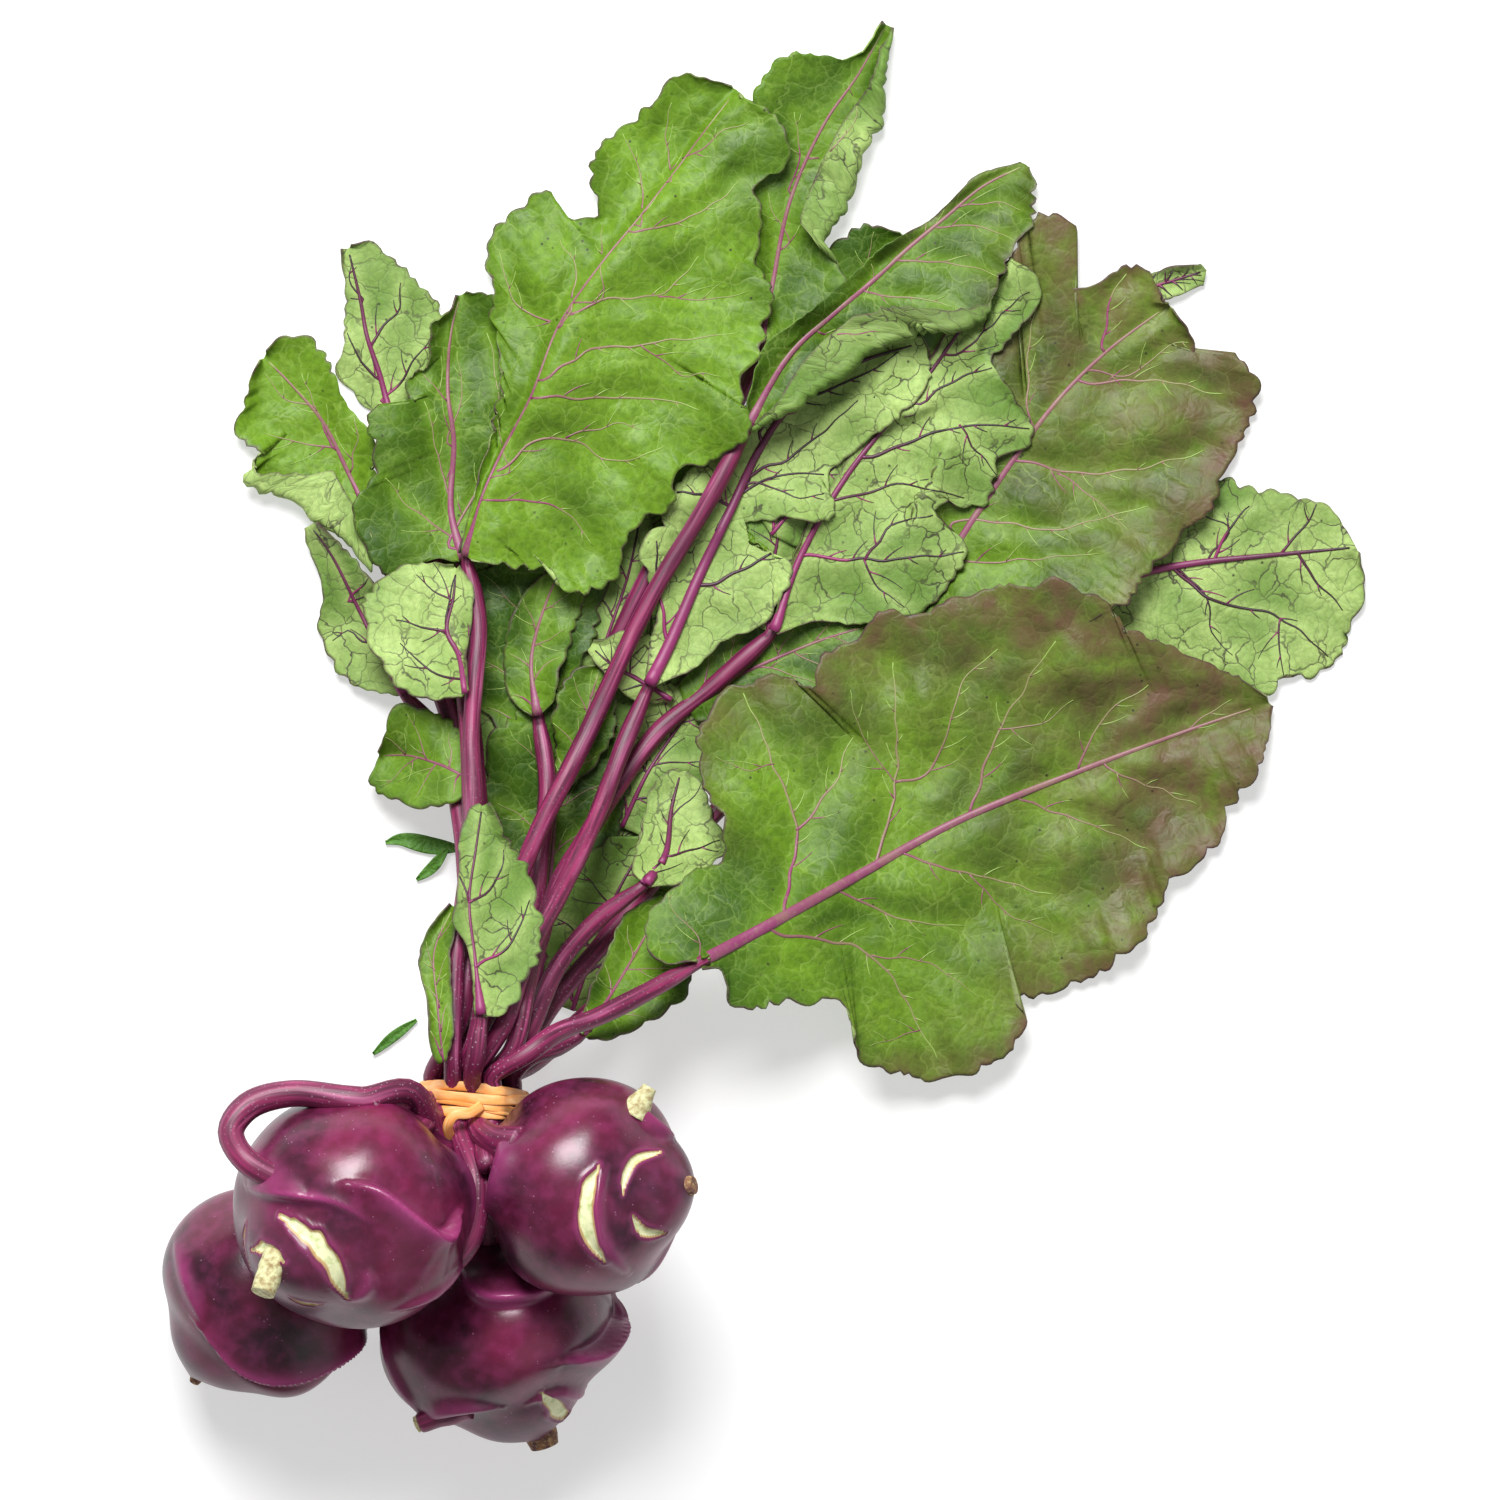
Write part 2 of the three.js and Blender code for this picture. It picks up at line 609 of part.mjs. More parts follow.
function makeStalk(leaf) {
  const { slot, from, to, rise } = leaf.stalk;
  const tie = slotPoint(slot);
  const [baseX, baseY] = leaf.midrib[0];
  const tail = [tie.x, tie.y - STALK_TAILS[slot[1]], tie.z - TAIL_DROPS[slot[1]]];
  const before = (from ?? [tail]).map((point) => new THREE.Vector3(...point));
  const throughTie = TIE_STATIONS.map((station) => tie.clone().setY(tie.y + station));
  throughTie[2].z += rise ?? FAN_RISE * slot[1];
  const after = to.map(([x, y]) => new THREE.Vector3(x, y, 0));
  const last = after[after.length - 1];
  const end = new THREE.Vector3(baseX, baseY, 0);
  end.addScaledVector(end.clone().sub(last).setZ(0).normalize(), -STALK_END_GAP);
  const fixed = before.length + throughTie.length;
  const route = [...before, ...throughTie, ...after, end];
  for (let k = fixed; k < route.length; k += 1) route[k].z = route[fixed - 1].z;
  const curve = new THREE.CatmullRomCurve3(route, false, 'centripetal');
  const count = Math.max(FEWEST_STEPS, Math.round(curve.getLength() / STALK_STEP));
  const spaced = curve.getSpacedPoints(count);
  const firstFree = spaced.findIndex((point) => point.y > tie.y + BAND_WIDTH);
  const radii = spaced.map((_, k) => THREE.MathUtils.lerp(STALK_RADIUS, STALK_TIP_RADIUS, k / count));
  const settled = settleStalk(spaced, radii, firstFree);
  const sections = settled.map((point, k) => {
    const behind = settled[Math.max(k - 1, 0)];
    const ahead = settled[Math.min(k + 1, settled.length - 1)];
    return ringAround(point, ahead.clone().sub(behind).normalize(), radii[k]);
  });
  const geometry = closedLoft(sections);
  layOnTable(geometry);
  const mesh = new THREE.Mesh(geometry, STALK_SKIN);
  mesh.name = `stalk_${leaf.name}`;
  return { mesh, endHeight: settled[settled.length - 1].z };
}

// ---- blades -------------------------------------------------------------------------------

const HALF_COLUMNS = [1, 0.5, 0]; // shares of the half width, from the margin to the midrib
const HALF_WAY_THICKNESS = 1.15;
const STRIP_STEPS = 5; // along a narrow leaf
const STRIP_END = 0.3; // least share of its half width, at its ends
const STRIP_TIP = 0.95; // where its last section's width is taken
const REACH = 4; // how far round a blade's mesh point it clears what lies there
const LIFT = 1.2; // how much of a missing height a facet's corner is raised by
const LEAST_FLAP = 0.5; // width of a roll's turned part
const COLUMN_THICKNESS = [
  MARGIN_THICKNESS, HALF_WAY_THICKNESS, BLADE_THICKNESS, HALF_WAY_THICKNESS, MARGIN_THICKNESS,
];

// Plan of a blade: for each row the midrib point, and the flat vectors to its two margins.
function bladeRows(leaf) {
  const midrib = planCurve(leaf.midrib);
  const left = planCurve(leaf.left);
  const right = planCurve(leaf.right);
  const rows = Math.round(left.getLength() / ROW_STEP);
  const count = THREE.MathUtils.clamp(rows, FEWEST_ROWS, MOST_ROWS);
  return Array.from({ length: count + 1 }, (_, k) => {
    const share = k / count;
    const centre = midrib.getPointAt(share);
    return {
      share,
      centre,
      left: left.getPointAt(share).sub(centre),
      right: right.getPointAt(share).sub(centre),
    };
  });
}

// The same for a narrow leaf of a given half width.
function stripRows({ midrib, half }) {
  const curve = planCurve(midrib);
  return Array.from({ length: STRIP_STEPS + 1 }, (_, k) => {
    const share = k / STRIP_STEPS;
    const tangent = curve.getTangentAt(share);
    const round = Math.sin(Math.PI * Math.min(share, STRIP_TIP));
    const width = half * Math.max(STRIP_END, round);
    const across = new THREE.Vector3(-tangent.y, tangent.x, 0).multiplyScalar(width);
    return { share, centre: curve.getPointAt(share), left: across, right: across.clone().negate() };
  });
}

// The five mesh columns of a row: both margins, both half ways, and the midrib.
function sheetPoints(row, tent) {
  const spread = [
    ...HALF_COLUMNS.map((share) => [row.left, share]),
    ...HALF_COLUMNS.slice(0, 2).reverse().map((share) => [row.right, share]),
  ];
  return spread.map(([side, share]) => row.centre.clone()
    .addScaledVector(side, share)
    .setZ(tent * (1 - share) * Math.sin(Math.PI * row.share)));
}

// Lays a sheet of mesh points over what is on the table; each point's z holds its shape.
function settleSheet(grid, baseHeight) {
  const underside = BLADE_THICKNESS / 2;
  const least = grid.map((points) => points.map((point) => {
    const support = table.highestWithin(point.x, point.y, REACH);
    return support + (support > 0 ? SHEET_GAP : 0) + underside - point.z;
  }));
  least[0] = least[0].map((height) => Math.max(height, baseHeight));
  const height = least.map((line) => [...line]);
  const neighbours = (i, j) => [[i - 1, j], [i + 1, j], [i, j - 1], [i, j + 1]]
    .filter(([k, l]) => height[k] !== undefined && height[k][l] !== undefined)
    .map(([k, l]) => height[k][l]);
  const relax = () => {
    for (let round = 0; round < RELAX_ROUNDS; round += 1) {
      height.forEach((line, i) => line.forEach((_, j) => {
        const near = neighbours(i, j);
        const mean = near.reduce((sum, value) => sum + value, 0) / near.length;
        line[j] = Math.max(least[i][j], mean - SAG);
      }));
    }
  };
  const lifted = (i, j) => grid[i][j].clone().setZ(grid[i][j].z + height[i][j]);
  // Raises the corners of each facet that still cuts what lies below it.
  const clear = () => {
    for (let i = 0; i + 1 < grid.length; i += 1) {
      for (let j = 0; j + 1 < grid[0].length; j += 1) {
        const facets = [
          [[i, j], [i, j + 1], [i + 1, j]],
          [[i, j + 1], [i + 1, j + 1], [i + 1, j]],
        ];
        facets.forEach((facet) => {
          let deficit = 0;
          visitTriangle(...facet.map(([k, l]) => lifted(k, l)), (point) => {
            const support = table.at(point.x, point.y);
            if (support > 0) deficit = Math.max(deficit, support + SHEET_GAP + underside - point.z);
          });
          facet.forEach(([k, l]) => {
            least[k][l] = Math.max(least[k][l], height[k][l] + LIFT * deficit);
          });
        });
      }
    }
  };
  relax();
  for (let round = 0; round < CLEAR_ROUNDS; round += 1) {
    clear();
    height.forEach((line, i) => line.forEach((_, j) => {
      line[j] = Math.max(line[j], least[i][j]);
    }));
  }
  return grid.map((points, i) => points.map((_, j) => lifted(i, j)));
}

// A rolled margin, as steps from the last flat point: how far in, how far up, and its slope.
function rollSteps(radius, flap) {
  const turn = [0.5, 1].map((share) => ({
    inward: -radius * Math.sin(Math.PI * share),
    up: radius * (1 - Math.cos(Math.PI * share)),
    slope: Math.PI * share,
  }));
  return [...turn, { inward: flap, up: 2 * radius, slope: Math.PI }];
}

// Middle line of one row's cross section from margin to margin, with its slope at each point.
function crossLine(row, points, curl) {
  const outward = [row.left, row.left, row.left, row.right, row.right];
  const line = points.map((point, j) => ({
    point,
    slope: 0,
    away: outward[j].clone().setZ(0).normalize(),
    thickness: COLUMN_THICKNESS[j],
  }));
  if (!curl) return line;
  const onLeft = curl.side === 'left';
  const margin = line[onLeft ? 0 : line.length - 1];
  const width = row[curl.side].length();
  const radius = Math.min(curl.radius, width / 4);
  const flap = Math.min(alongKnots(curl.flap, row.share), width - 3 * radius);
  const turned = rollSteps(radius, Math.max(flap, LEAST_FLAP)).map((step) => ({
    point: margin.point.clone()
      .addScaledVector(margin.away, -radius - step.inward)
      .setZ(margin.point.z + step.up),
    slope: step.slope,
    away: margin.away,
    thickness: MARGIN_THICKNESS,
  }));
  margin.point.addScaledVector(margin.away, -radius);
  return onLeft ? [...turned.reverse(), ...line] : [...line, ...turned];
}

// Closed cross section: the middle line moved up by half the thickness, and back below it.
function slabSection(line) {
  const shifted = (entry, sign) => {
    const half = entry.thickness / 2;
    return entry.point.clone()
      .addScaledVector(entry.away, -sign * half * Math.sin(entry.slope))
      .add(new THREE.Vector3(0, 0, sign * half * Math.cos(entry.slope)));
  };
  const upper = line.map((entry) => shifted(entry, 1));
  const lower = line.map((entry) => shifted(entry, -1)).reverse();
  return [...upper, ...lower];
}

function makeSheet(name, rows, { tent = 0, curl, material, baseHeight = 0 }) {
  const grid = settleSheet(rows.map((row) => sheetPoints(row, tent)), baseHeight);
  const sections = rows.map((row, i) => slabSection(crossLine(row, grid[i], curl)));
  const geometry = closedLoft(sections);
  layOnTable(geometry);
  const mesh = new THREE.Mesh(geometry, material);
  mesh.name = name;
  return mesh;
}

// ---- rubber band --------------------------------------------------------------------------

// Outline round the stalks in the band: straight between them, like a stretched loop.
function bandOutline(slots, clearance) {
  const sides = Array.from({ length: BAND_SIDES }, (_, k) => {
    const angle = (2 * Math.PI * k) / BAND_SIDES;
    const normal = new THREE.Vector2(Math.cos(angle), Math.sin(angle));
    const reach = Math.max(...slots.map((slot) => slot.dot(normal))) + clearance;
    return { normal, reach };
  });
  return sides.map((side, k) => {
    const next = sides[(k + 1) % BAND_SIDES];
    const spread = side.normal.x * next.normal.y - side.normal.y * next.normal.x;
    return new THREE.Vector2(
      (side.reach * next.normal.y - next.reach * side.normal.y) / spread,
      (side.normal.x * next.reach - next.normal.x * side.reach) / spread,
    );
  });
}

function makeBand(slots) {
  const inner = STALK_RADIUS + BAND_CLEARANCE;
  const shape = new THREE.Shape(bandOutline(slots, inner + BAND_THICKNESS));
  shape.holes.push(new THREE.Path(bandOutline(slots, inner)));
  const geometry = new THREE.ExtrudeGeometry(shape, { depth: BAND_WIDTH, bevelEnabled: false });
  geometry.rotateX(Math.PI / 2);
  geometry.translate(0, TIE.y + BAND_WIDTH / 2, 0);
  const mesh = new THREE.Mesh(geometry, RUBBER);
  mesh.name = 'rubber_band';
  return mesh;
}

// ---- the bunch ----------------------------------------------------------------------------

const bunch = new THREE.Group();

BULBS.forEach((bulb) => {
  const mesh = makeBulb(bulb);
  mesh.name = bulb.name;
  bunch.add(mesh);
});

WEEDS.forEach((weed) => {
  bunch.add(makeSheet(weed.name, stripRows(weed), { material: WEED }));
});

LEAVES.forEach((leaf) => {
  let baseHeight = 0;
  if (leaf.stalk) {
    const { mesh, endHeight } = makeStalk(leaf);
    bunch.add(mesh);
    baseHeight = endHeight;
  }
  const material = leaf.under ? LEAF_UNDER : LEAF_UPPER;
  bunch.add(makeSheet(`blade_${leaf.name}`, bladeRows(leaf), { ...leaf, material, baseHeight }));
});

const slots = LEAVES.filter((leaf) => leaf.stalk).map((leaf) => slotPoint(leaf.stalk.slot));
bunch.add(makeBand(slots.map((slot) => new THREE.Vector2(slot.x, slot.z))));

const box = new THREE.Box3().setFromObject(bunch);
const middle = box.getCenter(new THREE.Vector3());
bunch.position.set(-middle.x, -middle.y, -box.min.z);

export default bunch;
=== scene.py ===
"""Looks of a tied bunch of purple kohlrabi: bulbs, stalks, leaves and the rubber band round them.

Lengths in the specs are millimetres on the bunch's plan, with +X to the right, +Y toward the leaf
tips and +Z up from the table. Plan moves them into the row frame, in metres.
"""

import logging
import math
from dataclasses import dataclass, field
from enum import Enum
from typing import Any, ClassVar

import bmesh
import bpy
import numpy as np
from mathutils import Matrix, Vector
from mathutils.bvhtree import BVHTree


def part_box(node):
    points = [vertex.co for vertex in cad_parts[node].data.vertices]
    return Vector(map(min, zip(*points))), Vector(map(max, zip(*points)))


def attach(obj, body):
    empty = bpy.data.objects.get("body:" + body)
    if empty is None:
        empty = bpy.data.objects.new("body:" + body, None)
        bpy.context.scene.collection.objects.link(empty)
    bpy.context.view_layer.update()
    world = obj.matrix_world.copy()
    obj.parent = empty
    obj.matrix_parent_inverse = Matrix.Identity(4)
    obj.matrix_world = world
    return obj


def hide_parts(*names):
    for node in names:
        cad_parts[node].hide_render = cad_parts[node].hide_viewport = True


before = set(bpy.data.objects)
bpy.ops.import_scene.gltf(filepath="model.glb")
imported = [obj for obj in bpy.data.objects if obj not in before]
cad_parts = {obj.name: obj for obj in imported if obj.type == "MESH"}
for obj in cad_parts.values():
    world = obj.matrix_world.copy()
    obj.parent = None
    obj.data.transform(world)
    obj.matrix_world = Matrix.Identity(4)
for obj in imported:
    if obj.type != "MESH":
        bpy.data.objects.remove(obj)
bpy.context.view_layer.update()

log = logging.getLogger("kohlrabi")

MM = 0.001
Points = tuple[tuple[float, ...], ...]
Rows = tuple[tuple[Any, ...], ...]
Array = np.ndarray
Shape = bmesh.types.BMesh
Layer = bmesh.types.BMLayerItem
Material = bpy.types.Material
Socket = bpy.types.NodeSocket


# ---- curves and relief ------------------------------------------------------------------------


def spline(points: Points | Array, per_span: int = 24) -> Array:
    """Runs a smooth centripetal curve through points.

    Args:
        points: the points to pass, two or three numbers each.
        per_span: steps between one point and the next.

    Returns:
        The curve's points, one row each.
    """
    p = np.asarray(points, float)
    ends = np.vstack([2 * p[0] - p[1], p, 2 * p[-1] - p[-2]])
    t = np.linspace(0, 1, per_span, endpoint=False)[:, None]
    spans = []
    for a, b, c, d in zip(ends, ends[1:], ends[2:], ends[3:]):
        ab, bc, cd = (max(np.linalg.norm(v) ** 0.5, 1e-4) for v in (b - a, c - b, d - c))
        leave = ((b - a) / ab - (c - a) / (ab + bc) + (c - b) / bc) * bc
        arrive = ((c - b) / bc - (d - b) / (bc + cd) + (d - c) / cd) * bc
        spans.append(
            b + leave * t
            + (3 * (c - b) - 2 * leave - arrive) * t**2
            + (2 * (b - c) + leave + arrive) * t**3
        )
    return np.vstack([*spans, p[-1:]])


def arc(curve: Array) -> Array:
    """Length run along a curve at each of its points."""
    steps = np.linalg.norm(np.diff(curve, axis=0), axis=1)
    return np.concatenate([[0.0], np.cumsum(steps)])


def at_shares(curve: Array, shares: Array) -> Array:
    """Points of a curve at shares of its length.

    Args:
        curve: the curve's points, one row each.
        shares: shares from 0 to 1.

    Returns:
        One row for each share.
    """
    run = arc(curve)
    wanted = np.asarray(shares) * run[-1]
    return np.stack([np.interp(wanted, run, column) for column in curve.T], axis=-1)


def evenly(curve: Array, step: float) -> Array:
    """The same curve with its points about one step apart."""
    count = max(2, round(arc(curve)[-1] / step) + 1)
    return at_shares(curve, np.linspace(0, 1, count))


def along_knots(knots: Points, t: Array) -> Array:
    """Value at t of the straight lines through the knots (t, value)."""
    return np.interp(t, [k[0] for k in knots], [k[1] for k in knots])


def waves(x: Array, y: Array, wavelength: float, seed: int) -> Array:
    """Smooth seeded relief, mostly between -1 and 1.

    Args:
        x: first coordinate of each place.
        y: second coordinate of each place.
        wavelength: usual length of one wave, in the units of x and y.
        seed: picks the waves.

    Returns:
        The relief at each place.
    """
    count, usual_height = 9, 3.2
    rng = np.random.default_rng(seed)
    total = np.zeros(np.broadcast(x, y).shape)
    for angle, stretch, phase in rng.uniform((0, 0.7, 0), (math.tau, 1.5, math.tau), (count, 3)):
        reach = x * math.cos(angle) + y * math.sin(angle)
        total += np.sin(math.tau * reach / (wavelength * stretch) + phase)
    return total / usual_height


def smoothstep(low: float, high: float, value: Array) -> Array:
    """0 at or below low, 1 at or above high, and a smooth turn between them."""
    t = np.clip((value - low) / (high - low), 0, 1)
    return t * t * (3 - 2 * t)


def smoothed(values: Array, rounds: int) -> Array:
    """Evens out values on a grid by averaging with the neighbours.

    Args:
        values: the grid.
        rounds: how often.

    Returns:
        The evened grid.
    """
    out = values.copy()
    for _ in range(rounds):
        for axis in (0, 1):
            padded = np.pad(out, [(1, 1) if a == axis else (0, 0) for a in (0, 1)], mode="edge")
            before = padded[:-2] if axis == 0 else padded[:, :-2]
            after = padded[2:] if axis == 0 else padded[:, 2:]
            out = (before + 2 * out + after) / 4
    return out


def distance_to(points: Array, path: Array) -> tuple[Array, Array]:
    """Distance from points to a path of straight steps.

    Args:
        points: one row for each point.
        path: the path's points, in order.

    Returns:
        Each point's distance, and the share of the path at its nearest place.
    """
    best = np.full(len(points), np.inf)
    share = np.zeros(len(points))
    run = arc(path) / max(arc(path)[-1], 1e-9)
    for k, (a, b) in enumerate(zip(path, path[1:])):
        step = b - a
        t = np.clip((points - a) @ step / max(step @ step, 1e-12), 0, 1)
        away = np.linalg.norm(points - a - t[:, None] * step, axis=1)
        near = away < best
        best = np.where(near, away, best)
        share = np.where(near, run[k] + t * (run[k + 1] - run[k]), share)
    return best, share


# ---- the plan and what lies on the table ------------------------------------------------------


class Plan:
    """Moves the plan's millimetres into the row frame's metres, by the place of the band."""

    TIE = np.array([-93.0, -115.0])

    def __init__(self) -> None:
        """Finds the plan's place from the CAD band's box."""
        low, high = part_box("rubber_band")
        self.shift = np.array([(low.x + high.x) / 2, (low.y + high.y) / 2]) / MM - self.TIE

    def to_frame(self, points: Array) -> Array:
        """Points of the plan as row frame metres.

        Args:
            points: x, y and height in millimetres, along the last axis.

        Returns:
            The moved points, in the same layout.
        """
        moved = np.array(points, float)
        moved[..., :2] += self.shift
        return moved * MM


PLAN = Plan()


class NodeShape:
    """Heights of one CAD node, in the plan's millimetres, for pieces that take its place."""

    def __init__(self, node: str) -> None:
        """Reads the node's triangles.

        Args:
            node: the node's name.
        """
        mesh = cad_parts[node].data
        corners = [v.co.copy() for v in mesh.vertices]
        faces = [tuple(p.vertices) for p in mesh.polygons]
        self.tree = BVHTree.FromPolygons(corners, faces)

    def height(self, x: float, y: float, from_above: bool) -> float | None:
        """Height of the node at a place of the plan.

        Args:
            x: the place's x.
            y: the place's y.
            from_above: True for the top, False for the underside.

        Returns:
            The height, or None where the node isn't.
        """
        spot = PLAN.to_frame(np.array([x, y, 0.0]))
        start, way = (0.5, -1.0) if from_above else (-0.5, 1.0)
        hit = self.tree.ray_cast(Vector((spot[0], spot[1], start)), Vector((0, 0, way)))
        return None if hit[0] is None else hit[0].z / MM


class Pile:
    """Height of the highest thing laid so far, on a grid of one-millimetre cells."""

    LOW = (-215.0, -250.0)
    SHAPE = (430, 500)

    def __init__(self) -> None:
        """Starts with an empty table."""
        self.top = np.zeros(self.SHAPE)

    def cells(self, x: Array, y: Array) -> tuple[Array, Array]:
        """Grid indices of places of the plan.

        Args:
            x: x of each place.
            y: y of each place.

        Returns:
            The first and the second index of each place's cell.
        """
        i = np.clip((np.asarray(x) - self.LOW[0]).astype(int), 0, self.SHAPE[0] - 1)
        j = np.clip((np.asarray(y) - self.LOW[1]).astype(int), 0, self.SHAPE[1] - 1)
        return i, j

    def lay(self, points: Array, grow: float = 0.0) -> None:
        """Marks points, raised by grow, as taken."""
        flat = points.reshape(-1, 3)
        np.maximum.at(self.top, self.cells(flat[:, 0], flat[:, 1]), flat[:, 2] + grow)

    def support(self, x: Array, y: Array) -> Array:
        """Highest thing within a cell of each place.

        Args:
            x: x of each place.
            y: y of each place.

        Returns:
            The heights.
        """
        wide = self.top.copy()
        for axis in (0, 1):
            wide = np.maximum(wide, np.maximum(np.roll(wide, 1, axis), np.roll(wide, -1, axis)))
        return wide[self.cells(x, y)]


class Ceiling(Pile):
    """Height of the lowest thing still to come above each place."""

    NOTHING = 1e3
    SPACING = 0.8

    def __init__(self) -> None:
        """Starts with nothing above."""
        self.top = np.full(self.SHAPE, -self.NOTHING)

    def hang(self, path: Array, radius: float) -> None:
        """Marks the underside of a round stalk.

        Args:
            path: the stalk's centre line.
            radius: its radius.
        """
        reach = np.arange(-radius, radius + 0.5, self.SPACING)
        for dx in reach:
            for dy in reach:
                flat = math.hypot(dx, dy)
                if flat <= radius:
                    ring = path + np.array([dx, dy, -math.sqrt(radius**2 - flat**2)])
                    self.lay(ring * np.array([1, 1, -1]))

    def limit(self, x: Array, y: Array) -> Array:
        """Lowest thing above each place."""
        return -self.support(x, y)


# ---- meshes -----------------------------------------------------------------------------------


def add_grid(
    shape: Shape, points: Array
) -> tuple[dict[bmesh.types.BMVert, tuple[int, int]], set[bmesh.types.BMFace]]:
    """Adds a grid to shape and moves its vertices onto points.

    Args:
        shape: what the grid is added to.
        points: row frame metres as points[row, column].

    Returns:
        The row and column of each new vertex, and the new faces.
    """
    rows, columns = points.shape[:2]
    made = bmesh.ops.create_grid(shape, x_segments=columns - 1, y_segments=rows - 1, size=0.5)["verts"]
    where = {
        vert: (round((vert.co.y + 0.5) * (rows - 1)), round((vert.co.x + 0.5) * (columns - 1)))
        for vert in made
    }
    for vert, place in where.items():
        vert.co = points[place]
    return where, {face for vert in made for face in vert.link_faces}


def add_rolled(
    shape: Shape, points: Array, uv: Layer, girth: float, run: Array
) -> tuple[list[bmesh.types.BMVert], list[bmesh.types.BMFace]]:
    """Adds a grid that is rolled into a tube or a ring, and merges the borders that meet.

    Args:
        shape: what the grid is added to.
        points: millimetres of the plan as points[row, column], with the last column on the first.
        uv: UV layer that takes millimetres round and along.
        girth: millimetres round.
        run: millimetres along, at each row.

    Returns:
        The vertices and faces that are left.
    """
    rows, columns = points.shape[:2]
    where, faces = add_grid(shape, PLAN.to_frame(points))
    for loop in (loop for face in faces for loop in face.loops):
        row, column = where[loop.vert]
        loop[uv].uv = (girth * column / (columns - 1), run[row])
    borders = [
        vert for vert, (row, column) in where.items() if row in (0, rows - 1) or column in (0, columns - 1)
    ]
    bmesh.ops.remove_doubles(shape, verts=borders, dist=1e-7)
    return [vert for vert in where if vert.is_valid], [face for face in faces if face.is_valid]


def as_object(shape: Shape, name: str, materials: list[Material]) -> bpy.types.Object:
    """Turns a bmesh into a smooth object of the scene.

    Args:
        shape: the bmesh, which is freed.
        name: the piece's name.
        materials: its materials, in slot order.

    Returns:
        The new object, at the origin.
    """
    mesh = bpy.data.meshes.new(name)
    shape.to_mesh(mesh)
    shape.free()
    mesh.polygons.foreach_set("use_smooth", [True] * len(mesh.polygons))
    made = bpy.data.objects.new(name, mesh)
    bpy.context.scene.collection.objects.link(made)
    for material in materials:
        mesh.materials.append(material)
    return made


def set_attribute(piece: bpy.types.Object, name: str, values: Array) -> None:
    """Stores one number for each vertex of a piece, for its material to read."""
    attribute = piece.data.attributes.new(name, "FLOAT", "POINT")
    attribute.data.foreach_set("value", np.asarray(values, np.float32).ravel())


def set_uv(piece: bpy.types.Object, uv: Array) -> None:
    """Stores a UV map in millimetres.

    Args:
        piece: what it is stored on.
        uv: one pair of numbers for each vertex.
    """
    layer = piece.data.uv_layers.new(name="UVMap")
    loops = np.zeros(len(piece.data.loops), np.int32)
    piece.data.loops.foreach_get("vertex_index", loops)
    layer.data.foreach_set("uv", np.asarray(uv, np.float32).reshape(-1, 2)[loops].ravel())


def thin_sheet(
    name: str, points: Array, places: Array, facts: dict[str, Any],
    materials: list[Material], thickness: float,
) -> bpy.types.Object:
    """Makes a blade that faces up, with its thickness below its points.

    Args:
        name: the piece's name.
        points: millimetres of the plan as points[row, column].
        places: flattened place of each point, for the UV map.
        facts: attributes for the material, one number for each point or for all.
        materials: material of the face seen from above, and last that of the other faces.
        thickness: thickness in millimetres.

    Returns:
        The blade.
    """
    rows, columns = points.shape[:2]
    sheet = bmesh.new()
    where, _ = add_grid(sheet, PLAN.to_frame(points))
    order = np.array([where[vert][0] * columns + where[vert][1] for vert in sheet.verts])
    row, column = rows // 2, columns // 2
    along = points[row + 1, column] - points[row, column]
    across = points[row, column + 1] - points[row, column]
    if np.cross(across, along)[2] <= 0:
        bmesh.ops.reverse_faces(sheet, faces=sheet.faces)
    piece = as_object(sheet, name, materials)
    set_uv(piece, places.reshape(-1, 2)[order])
    for key, values in facts.items():
        set_attribute(piece, key, np.broadcast_to(values, (rows, columns)).reshape(-1)[order])
    wall = piece.modifiers.new("blade_thickness", "SOLIDIFY")
    wall.thickness = thickness * MM
    wall.offset = -1
    wall.material_offset = wall.material_offset_rim = len(materials) - 1
    return piece


def belongs(piece: bpy.types.Object, slot: str, *nodes: str) -> None:
    """Rides a piece on the bunch and reports it.

    Args:
        piece: the piece.
        slot: its material slot in the record; not used.
        nodes: the CAD nodes that it takes the place of.
    """
    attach(piece, "root")
    if nodes:
        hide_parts(*nodes)
    log.info("%s: %d faces", piece.name, len(piece.data.polygons))


def frames_along(path: Array) -> tuple[Array, Array]:
    """Finds directions along a path that keep its section from twisting.

    Args:
        path: the path's points.

    Returns:
        The sideways and the upward direction at each point.
    """
    tangent = np.gradient(path, axis=0)
    tangent /= np.linalg.norm(tangent, axis=1)[:, None] + 1e-12
    side = np.cross(tangent, [0.0, 0.0, 1.0])
    side /= np.linalg.norm(side, axis=1)[:, None] + 1e-12
    return side, np.cross(side, tangent)


